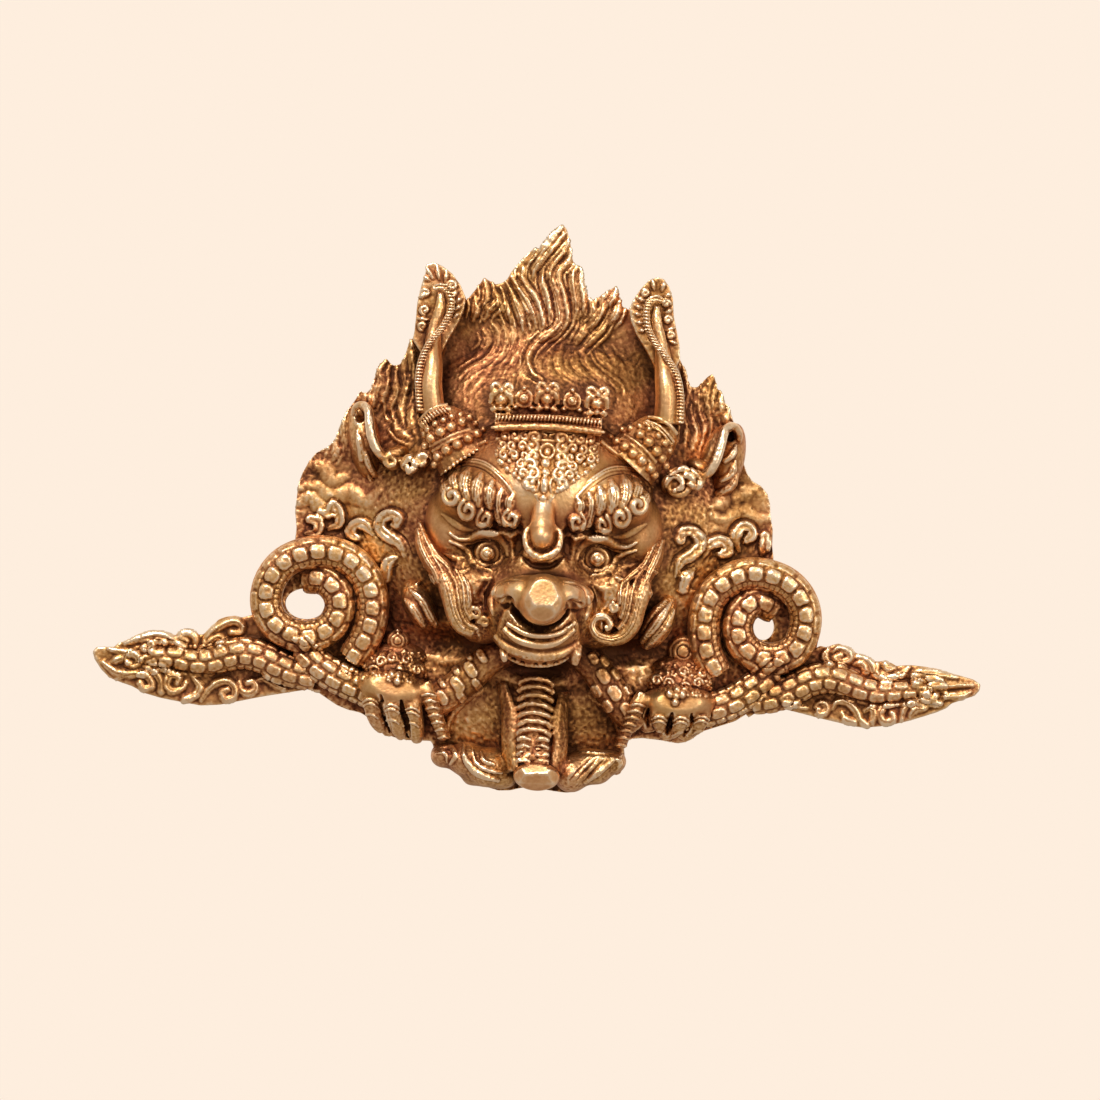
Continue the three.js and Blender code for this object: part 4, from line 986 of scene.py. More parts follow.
for side in (1, -1):
    wax.groove(flipped(ring(*EYE, 2.6), side), 0.5, 0.9, ends=(1, 1))
    wax.groove(flipped(ring(*EYE, 1.2), side), 0.3, 0.35, ends=(1, 1))
    for brow in BROW_LOCKS:
        for gap in (-0.9, 0, 0.9):
            wax.groove(beside(flipped(brow["lock"], side), gap), 0.26, 0.42)
    for gap in (-0.8, 0.9):
        wax.groove(beside(flipped([(9, -33), (12.8, -28.8), (17.4, -25.6), (22.4, -24.8), (26.8, -26.4)],
                                  side), gap), 0.35, 0.5)
    wax.groove(flipped([(12.6, -60.6), (12.2, -58.4), (9.8, -57), (6.4, -56.6)], side), 0.5, 0.8)
for x, z in TOOTH_GAPS:
    wax.pit(x, z, 1.1, 1.2)
punch = np.random.default_rng(31)
for side in (1, -1):
    for x, z in punch.uniform((13.5, -74), (26, -50.5), (PUNCHES, 2)):
        wax.pit(side * x, z, punch.uniform(0.5, 1.2), 0.22)
wax.roughen(0.75, 0.16, 7, calm=SMOOTH)
wax.push()
hollow_out(wax, HEAD_OPENING, 29.5)
cast(head, 0.3)


# Forehead jewel. A thin pointed plate that hangs from the head band, cast with the head and chased like
# goldsmith's work: a ring medallion, drops below it, rolled leaves beside it and a border of small beads.

JEWEL_EDGE = [
    (-14.4, -15.2), (14.6, -15.2), (14.2, -22.6), (11.4, -26), (6.6, -29.4), (3.6, -31.4), (1.6, -35),
    (-1.6, -35.2), (-3.8, -32), (-6.6, -29.2), (-11, -26.4), (-14, -23.4),
]
JEWEL_ROWS = [(-17.4, 13), (-20, 13.2), (-22.6, 12), (-25, 9.6), (-27.3, 6.6), (-29.4, 4.4)]
JEWEL_BEADS = [(13.6, -22.4), (12.4, -24.4), (10.8, -26), (8.8, -27.4), (4.6, -29.8), (3.2, -31.6)]

jewel = lump(0, -33, 7, 31.8, 24.8, 30.3)
pattern = sawn(JEWEL_EDGE, 14, 50)
# The exact solver puts its points in another order each run, and that would show in the skin's side walls
worked(jewel, "BOOLEAN", operation="INTERSECT", solver="FAST", object=pattern)
bpy.data.objects.remove(pattern)
skin(jewel, 0.24)
jewel.name = "forehead_jewel"
wax = Wax(jewel)
wax.ridge(ring(0, -20.8, 1.9), 0.6, 0.9, ends=(1, 1))
wax.bead(0, -20.8, 0.95, 0.8, "round")
wax.bead(-0.3, -24, 1.4, 1.2, "round")
wax.bead(-0.3, -26.6, 1.3, 0.9, "round")
wax.ridge([(-0.4, -27.6), (-0.4, -31.4)], 1.1, 1.4, ends=(0.6, 0.9), shape="round")
wax.bead(-0.5, -33.7, 1.1, 1.3, "round")
wax.ridge([(-14, -17.9), (0, -17.8), (14, -17.9)], 0.5, 0.7, ends=(1, 1))
wax.ridge([(-2.6, -27), (-1.9, -29.6), (-2.4, -32)], 0.5, 0.8)
wax.ridge([(1.9, -27), (1.2, -29.6), (1.6, -32)], 0.5, 0.8)
for row, (z, reach) in enumerate(JEWEL_ROWS):
    for i in range(5):
        x = 3.6 + 0.6 * (row % 2) + 2.7 * i
        size = 1.7 if i == 0 else 1.25
        leaf = rolled(x, z, size, 120 * row + 70 * i, 0.9 - 1.8 * (i % 2))
        if x < reach:
            for side in (1, -1):
                wax.ridge(flipped(leaf, side), size / 2, 1.5, ends=(0.8, 1), shape="round")
                wax.bead(side * (x + 1.3), z - 1.3, 0.7, 0.9, "round")
for x in (-9.5, -3.2, 3.2, 9.5):
    wax.ridge([(x - 2.8, -16.2), (x, -15.6), (x + 2.8, -16.2)], 0.45, 0.8, ends=(0.6, 0.6), shape="round")
for side in (1, -1):
    for x, z in JEWEL_BEADS:
        wax.bead(side * x, z, 0.75, 0.9, "round")
    wax.ridge(ring(6.7 * side, -28.6, 0.95), 0.45, 0.8, ends=(1, 1))
wax.roughen(0.7, 0.1, 8)
wax.push()
cast(jewel, 0.3)


# Crown. A low band that stands up from the head, with a plain cornice, a row of rope, and five small
# blossoms on top: three rosettes under curled leaves and two round buttons between them. It is brass too,
# built up from wax strips, drops and curls.
ROSETTES = [(-13.5, -6.9), (-0.8, -6.2), (13.2, -6.8)]
BUTTONS = [(-7.2, -6.2), (6.2, -6.2)]
CROWN = 30
ROPE_TURNS = 30

parts = [
    sawn([(-15, -15.6), (14.8, -15.6), (14.8, -10.6), (-15, -10.6)], 8, CROWN - 1.8),
    sawn([(-15.6, -10), (15.2, -10), (14.6, -5.6), (-15, -5.6)], 10, CROWN - 8),
    sawn([(-15.2, -11), (14.9, -11), (14.8, -8.8), (-15, -8.8)], 10, CROWN - 4.4),
    rod([(-14.6, -12, CROWN - 2), (0, -11.3, CROWN - 0.8), (14.5, -11.9, CROWN - 2)], 0.95),
    rod([(-15.4, -14.8, CROWN - 1.4), (-14, -14.6, CROWN - 1.2), (0, -13.8, CROWN),
         (13.8, -14.4, CROWN - 1.2), (15.2, -14.6, CROWN - 1.4)], [0.5, 0.9, 1, 0.9, 0.5]),
]
for x, z in ROSETTES + BUTTONS:
    parts.append(rod([(x, z + 1.6, CROWN - 8), (x, z - 3, CROWN - 5.6)], 2.2))
for x, z in ROSETTES:
    parts += [lump(x, z + 0.2, CROWN - 4, 2, 2, 3.4), lump(x, z - 2.2, CROWN - 4, 1.2, 1, 3.2),
              lump(x, z + 2.8, CROWN - 4.4, 1.3, 1.5, 4)]
    for side in (-1, 1):
        curl = [(x + side * px, z + 3 + pz, CROWN - 2.6) for px, pz in rolled(1.9, 0.3, 1.3, 200, -0.9)]
        parts.append(rod(curl, 0.85))
        parts.append(rod([(x + side * 0.6, z + 2.2, CROWN - 2), (x + side * 2.4, z + 1.4, CROWN - 2.6),
                          (x + side * 2.9, z - 1.2, CROWN - 3.2)], [0.9, 1.1, 0.7]))
        parts.append(rod([(x + side * 1.3, z - 2, CROWN - 2.6), (x + side * 2.6, z - 3, CROWN - 3)],
                         0.95))
for x, z in BUTTONS:
    parts += [lump(x, z, CROWN - 4, 1.7, 1.7, 3.4), lump(x, z + 2.9, CROWN - 4.4, 1, 0.9, 3)]
    parts.append(rod([(x + px, z + pz, CROWN - 3) for px, pz in ring(0, 0, 2.2)], 0.45))
    for side in (-1, 1):
        parts.append(lump(x + side * 2.2, z - 2.4, CROWN - 4, 0.9, 0.8, 2.6))
crown = fuse("crown", parts, 0.27)
wax = Wax(crown)
for x in np.linspace(-14.4, 14.4, ROPE_TURNS):
    dip = 0.6 * (1 - (x / 15) ** 2)
    wax.groove([(x - 0.2, -13 + dip), (x + 0.2, -11 + dip)], 0.34, 0.7, ends=(1, 1))
for x, z in BUTTONS:
    wax.groove(ring(x, z, 0.8), 0.3, 0.3, ends=(1, 1))
wax.roughen(0.8, 0.14, 9)
wax.push()
cast(crown, 0.3)


# Collars. Jewelled bands round the roots of the horns, the stones cast in brass like the rest: a rope at
# the top, two rows of set stones with plain ridges between them, and below them the head band with its
# row of fine beads.
LEFT_COLLAR = dict(
    axis=[(-22.6, -23.4), (-32.4, -10.4)],
    edge=[(-35.8, -13.6), (-33.6, -10.9), (-31, -9.4), (-28.4, -8.9)],
    rope=[(-35.2, -15.2), (-33, -12.4), (-30.6, -10.9), (-27.6, -10.2)],
    beads=[(-34.6, -17.4, 0.8), (-33.6, -15.9, 0.9), (-31.6, -14.3, 0.8), (-29.4, -13.2, 0.8),
           (-27.2, -12.2, 0.9), (-24.8, -11.5, 0.8), (-22.2, -12, 1), (-20.4, -13.6, 0.8),
           (-34.2, -20.6, 1), (-32.6, -18.3, 1.3), (-30, -16.4, 1.35), (-27.1, -15, 1.35),
           (-24.3, -13.5, 1.3), (-31.2, -25.6, 1), (-30.4, -23.4, 1.2), (-28, -21.4, 1.3),
           (-25.1, -19.8, 1.3), (-22.3, -18, 1.3), (-19.9, -16.6, 1.2), (-18.2, -15.2, 0.8)],
    ridges=[
        [(-32.8, -20.6), (-29.4, -18.9), (-26, -17), (-21.6, -15.3)],
        [(-32, -22), (-28.8, -19.9), (-25.4, -18.1), (-20.8, -16)],
    ],
    band=[(-31.2, -29), (-29.5, -26.8), (-26.5, -24), (-23.5, -21.7), (-20, -19.8), (-17, -18.5)],
)
RIGHT_COLLAR = dict(
    axis=[(23, -23), (32.6, -11.6)], edge=[(27.6, -9.6), (30.6, -9.9), (33.6, -11.5), (35.8, -14)],
    rope=[(27, -11.2), (30.2, -12.2), (32.4, -13.8), (34.6, -16.4)],
    beads=[(25.4, -12.2, 0.8), (28, -13, 0.8), (30.6, -14.6, 0.8), (32.6, -16.6, 0.9), (34, -18.6, 0.8),
           (20.6, -13.4, 0.8), (22.8, -13, 1), (25.6, -14.5, 1.3), (28, -16.5, 1.4), (30.3, -18.9, 1.35),
           (31.9, -20.9, 1.2), (33.1, -22.8, 1.1), (17.4, -15.6, 0.8), (19.2, -16.8, 1.1),
           (21.5, -18.1, 1.3), (23.9, -19.9, 1.3), (26.4, -21.7, 1.3), (28.9, -23.8, 1.25),
           (30, -25.6, 1.1)],
    ridges=[
        [(21.2, -14.8), (24.4, -16.6), (27.4, -19), (30.4, -22.2)],
        [(20.4, -15.8), (23.6, -17.7), (26.6, -20.1), (29.6, -23.2)],
    ],
    band=[(14.6, -17), (18, -19.4), (22, -22), (25, -24.5), (27.5, -27.4), (28.8, -29.4)],
)


def make_collar(side, axis, edge, rope, beads, ridges, band):
    """The collar of one side: a drum that narrows along its axis, with all that is set on it"""
    (x0, z0), (x1, z1) = axis
    length = math.hypot(x1 - x0, z1 - z0)
    ahead = (x1 - x0) / length, (z1 - z0) / length

    def on_drum(x, z, lift):
        """Point this high above the drum's front"""
        along = ((x - x0) * ahead[0] + (z - z0) * ahead[1]) / length
        off = (x - x0) * ahead[1] - (z - z0) * ahead[0]
        radius = 9.2 - 3 * along
        return x, z, 17 + lift + math.sqrt(max(4, radius ** 2 - off ** 2))

    drum = [(x0 + ahead[0] * reach, z0 + ahead[1] * reach) for reach in (0, 5, 10, 13.4, 15.6)]
    parts = [rod([(x, z, proud) for x, z in drum], [8.8, 8, 7.1, 5.8, 3.6]) for proud in (17, 10.5)]
    parts += [rod([on_drum(x, z, 0) for x, z in edge], 0.6), rod([on_drum(x, z, 0) for x, z in rope], 1),
              rod(resting(band, SKULL, 0.5), 0.65)]
    parts += [rod([on_drum(x, z, 0) for x, z in ridge], 0.5) for ridge in ridges]
    for x, z, half in beads:
        x, z, proud = on_drum(x, z, -0.5)
        parts.append(lump(x, z, proud, half * 1.2, half * 1.2, half * 1.6))
    collar = fuse(f"collar_{side}", parts, 0.25)
    wax = Wax(collar)
    for x, z in spline(rope, 0.9)[1:-1]:
        wax.groove([(x - 0.8, z + 0.9), (x + 0.8, z - 0.9)], 0.26, 0.7, ends=(1, 1))
    for x, z in spline(band, 1.4)[2:-1]:
        wax.bead(x + 0.6 * np.sign(-x), z - 1.5, 0.55, 0.7)
    wax.roughen(0.8, 0.1, 10)
    wax.push()
    cast(collar, 0.3)


make_collar("left", **LEFT_COLLAR)
make_collar("right", **RIGHT_COLLAR)


# Horns. Each horn rises from its collar, bows outwards and ends in a broad leaf that stands well clear of
# the flames. A beaded rib climbs along the horn and rolls over at the tip.
LEFT_HORN = dict(
    leaf=[(-39.2, 9), (-38.8, 11.5), (-38.6, 15), (-38.4, 19.5), (-37.5, 24.5), (-36.6, 27.5),
          (-36.3, 30.3), (-34.5, 30.9), (-32, 30.1), (-29, 28), (-26.5, 24.8), (-24.9, 21.4), (-25.4, 18),
          (-26.6, 14.6), (-29.4, 9.4), (-31.6, 4), (-35, 3)],
    body=[(-32.4, -11, 20.5), (-33.4, -4, 21), (-33.2, 2, 20.2), (-33.4, 7, 18), (-33.4, 12, 16.4),
          (-32, 18, 16), (-32, 22.4, 15.6)],
    halves=[3.2, 2.8, 2.3, 1.8, 1.6, 1.5, 0.8],
    rib=[(-36, -11, 21.6), (-36.7, -6, 21.4), (-37, -1.6, 21), (-36.4, 3, 20.8), (-34.4, 8, 20.6),
         (-31.2, 12.4, 20), (-29.2, 16.6, 18.8), (-28.7, 20, 18), (-29.8, 23, 17.6), (-32, 24.3, 17.2),
         (-33.8, 23.5, 16.6)],
    walls=[(-34, -11, 8), (-34.6, 0, 9), (-33, 8, 8)],
    veins=[
        [(-37, 27), (-35.4, 25.8)],
        [(-36.4, 29.6), (-34.4, 26.4)],
        [(-33.4, 30), (-32.6, 26.4)],
        [(-30.6, 28.6), (-30.8, 25.6)],
        [(-25.9, 21.6), (-27.6, 20)],
        [(-26, 19.4), (-27.8, 18)],
        [(-26.6, 17), (-28, 15.8)],
        [(-27.6, 23.4), (-28.4, 21.6)],
        [(-38.2, 15), (-35, 14.8)],
        [(-38.2, 20.8), (-35.4, 22)],
    ],
    curls=[(-29, 24.6, 1.4, 180, -1.2), (-36.2, 17.5, 1.4, 270, -1), (-36.6, 12.9, 1.2, 270, -1),
           (-36.2, 22.2, 1.2, 200, -1)],
)
RIGHT_HORN = dict(
    leaf=[(35.8, 7), (35.5, 11), (34.5, 15), (33.5, 19), (33, 24), (31.8, 27.3), (30.3, 29.3),
          (28.5, 29.8), (26, 28.8), (24, 26.5), (22, 23.3), (20.9, 20.6), (21.6, 17), (23.2, 13.6),
          (26.4, 9), (29.6, 3.4), (33, 1)],
    body=[(32.6, -11, 20.5), (32.6, -4, 21), (31.8, 1.6, 20.2), (31.2, 6, 18), (30.4, 11, 16.4),
          (28.8, 17, 16), (28.6, 21.6, 15.6)],
    halves=[3, 2.7, 2.2, 1.8, 1.6, 1.5, 0.8],
    rib=[(36.7, -11, 21.6), (36.6, -6, 21.4), (36.2, -1.6, 21), (34.8, 3, 20.8), (31.8, 7.4, 20.6),
         (28.6, 11.2, 20), (26.4, 15.4, 18.8), (25.7, 19.4, 18), (26.4, 22.8, 17.6), (28.6, 24, 17.2),
         (30, 22.8, 16.6)],
    walls=[(34, -11, 8), (33.4, 0, 9), (31, 8, 8)],
    veins=[
        [(27, 29.2), (27.6, 26.4)],
        [(30.4, 28.8), (29.8, 26.2)],
        [(24.4, 26.4), (26, 25.2)],
        [(22.9, 23.8), (25, 23)],
        [(22.4, 21.6), (24.4, 21)],
        [(22.3, 19.4), (24.2, 19)],
        [(23, 17), (24.8, 16.8)],
        [(23.8, 14.6), (25.6, 14.8)],
        [(33, 21), (31, 20)],
        [(34, 16), (31.6, 15)],
        [(34.8, 11.6), (32.6, 12)],
        [(32.4, 25.6), (30.8, 24.4)],
    ],
    curls=[(31.2, 22.6, 1.1, 0, 1), (31.8, 18, 1.1, 0, 1), (32.8, 13.6, 1.1, 0, 1),
           (25, 25.2, 1.1, 120, -1)],
)


def lowered(line, drop):
    """The same line, closer to the plate"""
    return [(x, z, proud - drop) for x, z, proud in line]


def make_horn(side, leaf, body, halves, rib, walls, veins, curls):
    """The horn of one side, with its leaf, its rib and the walls down to the plate"""
    parts = [sawn(leaf, 0.4, 14.5), rod(body, halves), rod(rib, 0.95), rod(walls, 3.4)]
    parts += [rod(lowered(body[:5], drop), [3.4, 3.2, 2.8, 2.4, 2]) for drop in np.arange(1.5, 16.6, 1.5)]
    horn = fuse(f"horn_{side}", parts, 0.3)
    wax = Wax(horn)
    for vein in veins:
        wax.ridge(vein, 0.8, 0.9, ends=(0.3, 0.6))
    for curl in curls:
        wax.ridge(rolled(*curl), 0.65, 0.9, ends=(0.7, 1), shape="round")
    wax.push()
    for x, z in spline(flat(rib), 0.95)[1:-1]:
        wax.groove([(x - 0.9, z), (x + 0.9, z)], 0.3, 0.6, ends=(1, 1))
    wax.roughen(0.9, 0.1, 11, calm=[(body[2][0], -2, 4, 12)])
    wax.push()
    cast(horn, 0.3)


make_horn("left", **LEFT_HORN)
make_horn("right", **RIGHT_HORN)


# Ears. Pointed animal ears laid back against the flames, with a thick rolled rim. A tuft of curled hair
# joins each of them to the cheek.
LEFT_EAR = dict(
    shapes=[(-43, -23.4, 8, 4.6, 2.4, 5, -20), (-51.4, -20, 3.6, 4.6, 11.4, 7.4, -12)],
    rim=[(-54.6, -13, 10), (-54.2, -10.6, 12), (-52.2, -9.9, 14), (-50.6, -11.4, 16.4), (-50, -15, 18),
         (-49, -19.4, 18.6), (-47.2, -22.8, 18.6), (-45.6, -24.2, 17.6)],
    tuft=[(-43, -25.8, 14, 2, 2, 4, 0), (-38.3, -26, 15, 2.3, 2.3, 4, 0), (-35, -24.6, 16, 2.4, 2, 4, 0),
          (-40.8, -25.2, 13, 2, 1.4, 4, 0)],
    rolls=[(-43.4, -25.2, 1.9, 90, 1.1, 17.6), (-38.4, -26, 2.1, 60, 1.1, 18.6),
           (-34.8, -24.8, 1.8, 30, 1.1, 19.4)],
    hair=[
        [(-40.2, -26.4), (-38.3, -24.4), (-36.6, -26.2), (-38.2, -27.6), (-39, -26.4)],
        [(-49.8, -29.6), (-48.6, -31), (-46.4, -31.4)],
        [(-53.4, -17), (-52.4, -21), (-51.8, -25)],
        [(-51.4, -22), (-50, -26), (-48.4, -29)],
    ],
    pit=(-53, -13.2),
)
RIGHT_EAR = dict(
    shapes=[(42.8, -22.6, 8, 3.8, 2.2, 5, 20), (51, -20.6, 3.6, 4.4, 11, 7.6, 10),
            (46.6, -17.6, 5, 3, 7.6, 5, 22)],
    rim=[(53.6, -15, 9), (53.3, -12.4, 12), (51.4, -10.7, 14), (49.4, -12, 16.4), (48.4, -16, 18),
         (47.2, -20.4, 18.6), (45.6, -23.8, 18.4), (44.2, -25, 17.4)],
    tuft=[(36.8, -27.8, 13, 4.4, 4, 5.4, 0), (42, -26.4, 13, 2.6, 2.4, 4.6, 0)],
    rolls=[(36.8, -27.8, 4, 130, -1.6, 17.8), (42, -26.4, 2.2, 160, -1.2, 17)],
    hair=[
        [(33.4, -31.6), (33.2, -28.4), (35, -25.6), (37.4, -26.2), (37.8, -28.4), (36, -29.6)],
        [(34.6, -25.4), (37.6, -23.6), (40.6, -24.2), (42.8, -26.6), (42, -28.6), (40.2, -27.6)],
        [(37, -25), (40, -25.4), (41.2, -27)],
        [(52.6, -16), (51.6, -19), (50, -20.6)],
        [(52.6, -20.4), (51.6, -24), (49.4, -25.8)],
        [(53.4, -24), (51.8, -27.4), (48.6, -29.4)],
        [(50, -29), (46.8, -31.4), (43.2, -31.4)],
        [(46, -28), (43.6, -29.6), (41.6, -30.4)],
    ],
    pit=(51, -13.4),
)


def make_ear(side, shapes, rim, tuft, rolls, hair, pit):
    """The ear of one side, with its rim, its rolls and the tuft of hair beside it"""
    parts = [lump(*shape) for shape in shapes + tuft] + [rod(rim, [0.8, 1, 1.1, 1.2, 1.3, 1.4, 1.3, 1])]
    parts += [rod(lowered(rim[2:], drop), 1.3) for drop in np.arange(1.2, 14, 1.2)]
    for *roll, proud in rolls:
        parts.append(rod([(x, z, proud) for x, z in rolled(*roll)], np.linspace(1.1, 0.7, CURL_POINTS)))
    ear = fuse(f"ear_{side}", parts, 0.3)
    wax = Wax(ear)
    wax.pit(*pit, 1.8, 4)
    for strand in hair:
        wax.ridge(strand, 0.9, 1.3, ends=(0.4, 0.9), shape="round")
    wax.push()
    for strand in hair:
        wax.groove(strand, 0.25, 0.35)
    wax.roughen(0.9, 0.12, 12)
    wax.push()
    cast(ear, 0.3)


make_ear("left", **LEFT_EAR)
make_ear("right", **RIGHT_EAR)


# Whiskers. Thick tufts that leave the temples, run down beside the cheeks and roll up at the corners of
# the mouth. They are laid up from strands of wax, with fine grooves between them. Loose hair and a boss
# lie on the plate beside.
LEFT_HAIR = dict(
    tuft=[(-28.4, -54, 25.4), (-26.4, -58.2, 27.4), (-24.8, -63, 27.6), (-23.4, -67.4, 27.2),
          (-21.2, -70.6, 26.4), (-18.2, -71.6, 25.4)],
    strands=[
        [(-34.6, -42), (-33, -46), (-31, -49.8), (-28.8, -53.2), (-27, -56)],
        [(-33.6, -44.2), (-31.6, -48.2), (-29.2, -51.4), (-26.6, -53.6), (-24.6, -56.4)],
        [(-35, -43.8), (-33.8, -48.4), (-31.8, -52.2), (-29.6, -55.4), (-28.4, -58.6)],
        [(-25.8, -54.4), (-23.8, -57.8), (-22.8, -62), (-21.8, -66.2), (-20, -69.4), (-16.8, -70.8)],
        [(-24, -54.4), (-22, -57.8), (-21.2, -62), (-20.6, -65.8), (-18.8, -68.4)],
        [(-22.2, -55.6), (-20.6, -58.8), (-19.8, -62.6), (-19.6, -65)],
    ],
    curls=[(-17.8, -66.6, 2, 200, -1.1), (-15.2, -68.8, 1.5, 200, -1.1)],
    loose=[
        [(-36.4, -61), (-33, -64), (-30.2, -68.6), (-28.2, -71.8)],
        [(-37.6, -63.6), (-34.6, -66.6), (-32.2, -70.4)],
        [(-37, -56.4), (-35.4, -54.2), (-33.2, -54.6)],
        [(-34.6, -59.4), (-33, -57), (-30.6, -57.6), (-30, -60)],
        [(-40, -67), (-38.4, -70), (-39.4, -73)],
    ],
    lobe=(-33.6, -65, 8, 4.6, 8, 8, -30), boss=(-39.4, -75.4, 6, 3.4, 3, 5, 0),
)
RIGHT_HAIR = dict(
    tuft=[(29, -54, 25.4), (28.2, -58.4, 27), (27, -63, 27.2), (26, -67.4, 27), (23.6, -70.8, 26.8),
          (20, -72, 26.6), (16.4, -71, 26.6), (14.7, -68.4, 26.6), (16, -65.9, 26.6), (18.6, -65.9, 26.6),
          (19.9, -68, 26.6), (18.4, -69.2, 26.6)],
    strands=[
        [(32, -42), (30.4, -46.6), (28.4, -51), (26.2, -55)],
        [(33.2, -43.6), (31.8, -48.4), (30, -52.6), (28.6, -56.6)],
        [(30.4, -47.4), (27.8, -51.4), (24.8, -54.2), (22.6, -56.4)],
        [(26.4, -54.8), (25.4, -59), (24.8, -63.4), (23.8, -66.8), (22, -69)],
        [(24.2, -55.6), (23.8, -59.4), (23.4, -63), (22.6, -66)],
        [(22.4, -56.6), (22.2, -59.6), (22.2, -62)],
    ],
    curls=[(20.8, -63, 1.4, 90, 1.1)],
    loose=[
        [(31.4, -52.4), (33.6, -54), (36.6, -56)],
        [(30.8, -60.6), (31.6, -58), (34, -57.4)],
        [(36.4, -61), (33.4, -66), (29.4, -72)],
        [(37.4, -63), (34.8, -68), (30.6, -73.4)],
        [(35.2, -60.6), (31.6, -65.4), (29.2, -69.4)],
        [(38.4, -65.4), (36, -70), (33, -73.6)],
    ],
    lobe=(33.4, -66.6, 8, 4, 8.6, 9.4, 26), boss=(40.8, -74.5, 5, 4.6, 4.6, 5, 0),
)


def hair_height(z):
    """How far the whisker stands out at a height on the face"""
    return np.interp(-z, [42, 48, 54, 60, 70], [19, 23.4, 26, 27.4, 26.2])


def make_hair(side, tuft, strands, curls, loose, lobe, boss):
    """The whisker of one side, with its strands and curls and the loose hair round it"""
    halves = np.interp(range(len(tuft)), [0, 1, 3, 5, 7, 12], [1.3, 2.2, 2.1, 1.5, 1.2, 0.9])
    parts = [rod(tuft, halves), lump(*lobe), lump(*boss)]
    parts.append(lump(np.sign(lobe[0]) * 19.4, -67, 20, 5.4, 4.8, 4.6))
    parts += [rod(lowered(tuft, drop), halves + 0.3) for drop in np.arange(1.6, 17, 1.6)]
    for strand in strands:
        slim = np.interp(np.linspace(0, 1, len(strand)), [0, 0.3, 0.7, 1], [0.5, 1, 1, 0.6])
        for lift, half in zip(np.arange(0.9, -12, -1.3), [0.95, 1.3, 1.6, 1.8, 1.9, 2, 2, 2, 2, 2]):
            parts.append(rod([(x, z, hair_height(z) + lift) for x, z in strand], half * slim))
    for x, z, radius, *wind in curls:
        curl = rolled(x, z, radius, *wind)
        parts.append(rod([(px, pz, hair_height(pz) + 0.6) for px, pz in curl], 0.7))
        parts.append(lump(x, z, 22, radius, radius, 4))
    hair = fuse(f"whiskers_{side}", parts, 0.3)
    wax = Wax(hair)
    for strand in loose:
        wax.ridge(strand, 1.1, 1.5, ends=(0.4, 0.7), shape="round")
    wax.push()
    for strand in [*strands, flat(tuft)]:
        for gap in (-0.45, 0.45):
            wax.groove(beside(strand, gap), 0.25, 0.3)
    for strand in loose:
        wax.groove(strand, 0.3, 0.5)
    for radius in (0.75, 0.42):
        wax.groove(ring(boss[0], boss[1], boss[3] * radius), 0.35, 0.6, ends=(1, 1))
    wax.roughen(0.8, 0.14, 13)
    wax.push()
    cast(hair, 0.3)


make_hair("left", **LEFT_HAIR)
make_hair("right", **RIGHT_HAIR)


# Hands. Two clawed hands grip the serpent from above. Each has a jewelled cuff, a burnished back, three
# fingers with ringed knuckles that bend down over the edge, and a ringed thumb on the inside.
LEFT_HAND = dict(
    back=[(-39.8, -88.6, 11, 10.8, 4.8, 11, 8), (-39.8, -83.6, 7.6, 9.4, 5.4, 6.6, 8),
          (-39, -79.6, 5, 8, 4, 6, 0), (-49.6, -82.2, 3, 4.4, 3, 5.4, 0)],
    fingers=[
        [(-46.2, -87.4, 11.6), (-46, -90.8, 14.4), (-45.2, -94.4, 13.4), (-43.9, -98, 10.6),
         (-42.6, -100.4, 7.6)],
        [(-40.4, -88.6, 14), (-40, -92, 17), (-39.2, -95.6, 15.6), (-38, -99.4, 12.4), (-37, -102, 8.6)],
        [(-34.6, -89, 13.6), (-34.4, -92.6, 16.6), (-33.6, -96.4, 15.2), (-33, -100.4, 12),
         (-32.6, -102.8, 8.6)],
    ],
    thick=[2.7, 2.8, 2.6, 2.4, 1.6],
    gaps=[
        [(-43.2, -90.8), (-42.4, -93.6), (-41.2, -97.6), (-40.2, -101)],
        [(-37.4, -92), (-36.8, -94.6), (-35.6, -98), (-35, -102)],
    ],
    thumb=[(-31, -86.8, 16.4), (-29.8, -90, 17.2), (-28.4, -93.6, 16.4), (-26.8, -97.6, 14),
           (-25, -101.8, 10.8)],
    flower=(-38.5, -85),
    swirls=[(-43.6, -81.6), (-40.6, -80.6), (-36.6, -80.8), (-33.6, -83.4), (-45.6, -84)],
)
RIGHT_HAND = dict(
    back=[(40, -88.8, 11, 10.8, 4.8, 11, -2), (40.4, -83.6, 7.6, 9.4, 5.4, 6.6, -4),
          (40.4, -79.6, 5, 8.4, 4, 6, 0)],
    fingers=[
        [(34.6, -89, 14), (34.8, -91.6, 16.8), (35, -93.6, 15.6), (35.2, -95.6, 13), (35.3, -97, 10.6)],
        [(40.6, -89, 14), (41, -91.6, 17), (40.8, -94, 15.6), (40, -96.4, 13), (39, -98.4, 10.4)],
        [(46.2, -88.4, 12), (46.6, -91, 14.6), (46.4, -93.4, 13.6), (45.6, -95.8, 11.2),
         (44.4, -97.6, 8.6)],
    ],
    thick=[2.8, 2.8, 2.4, 1.8, 0.8],
    gaps=[
        [(31.6, -91), (31.4, -93.6), (32, -96)],
        [(38.3, -91.8), (38, -94.6), (37.2, -98)],
        [(43.9, -91.8), (43.6, -94.6), (42, -98)],
    ],
    thumb=[(30, -86.8, 16.4), (28.6, -90, 17.2), (27.2, -93.6, 16.4), (25.8, -97.4, 14),
           (24.4, -101.6, 10.8)],
    flower=(39.2, -87),
    swirls=[(41.6, -84.4), (37, -83.6), (45, -83.2), (34, -83), (41, -80.4), (46.4, -80.6)],
)

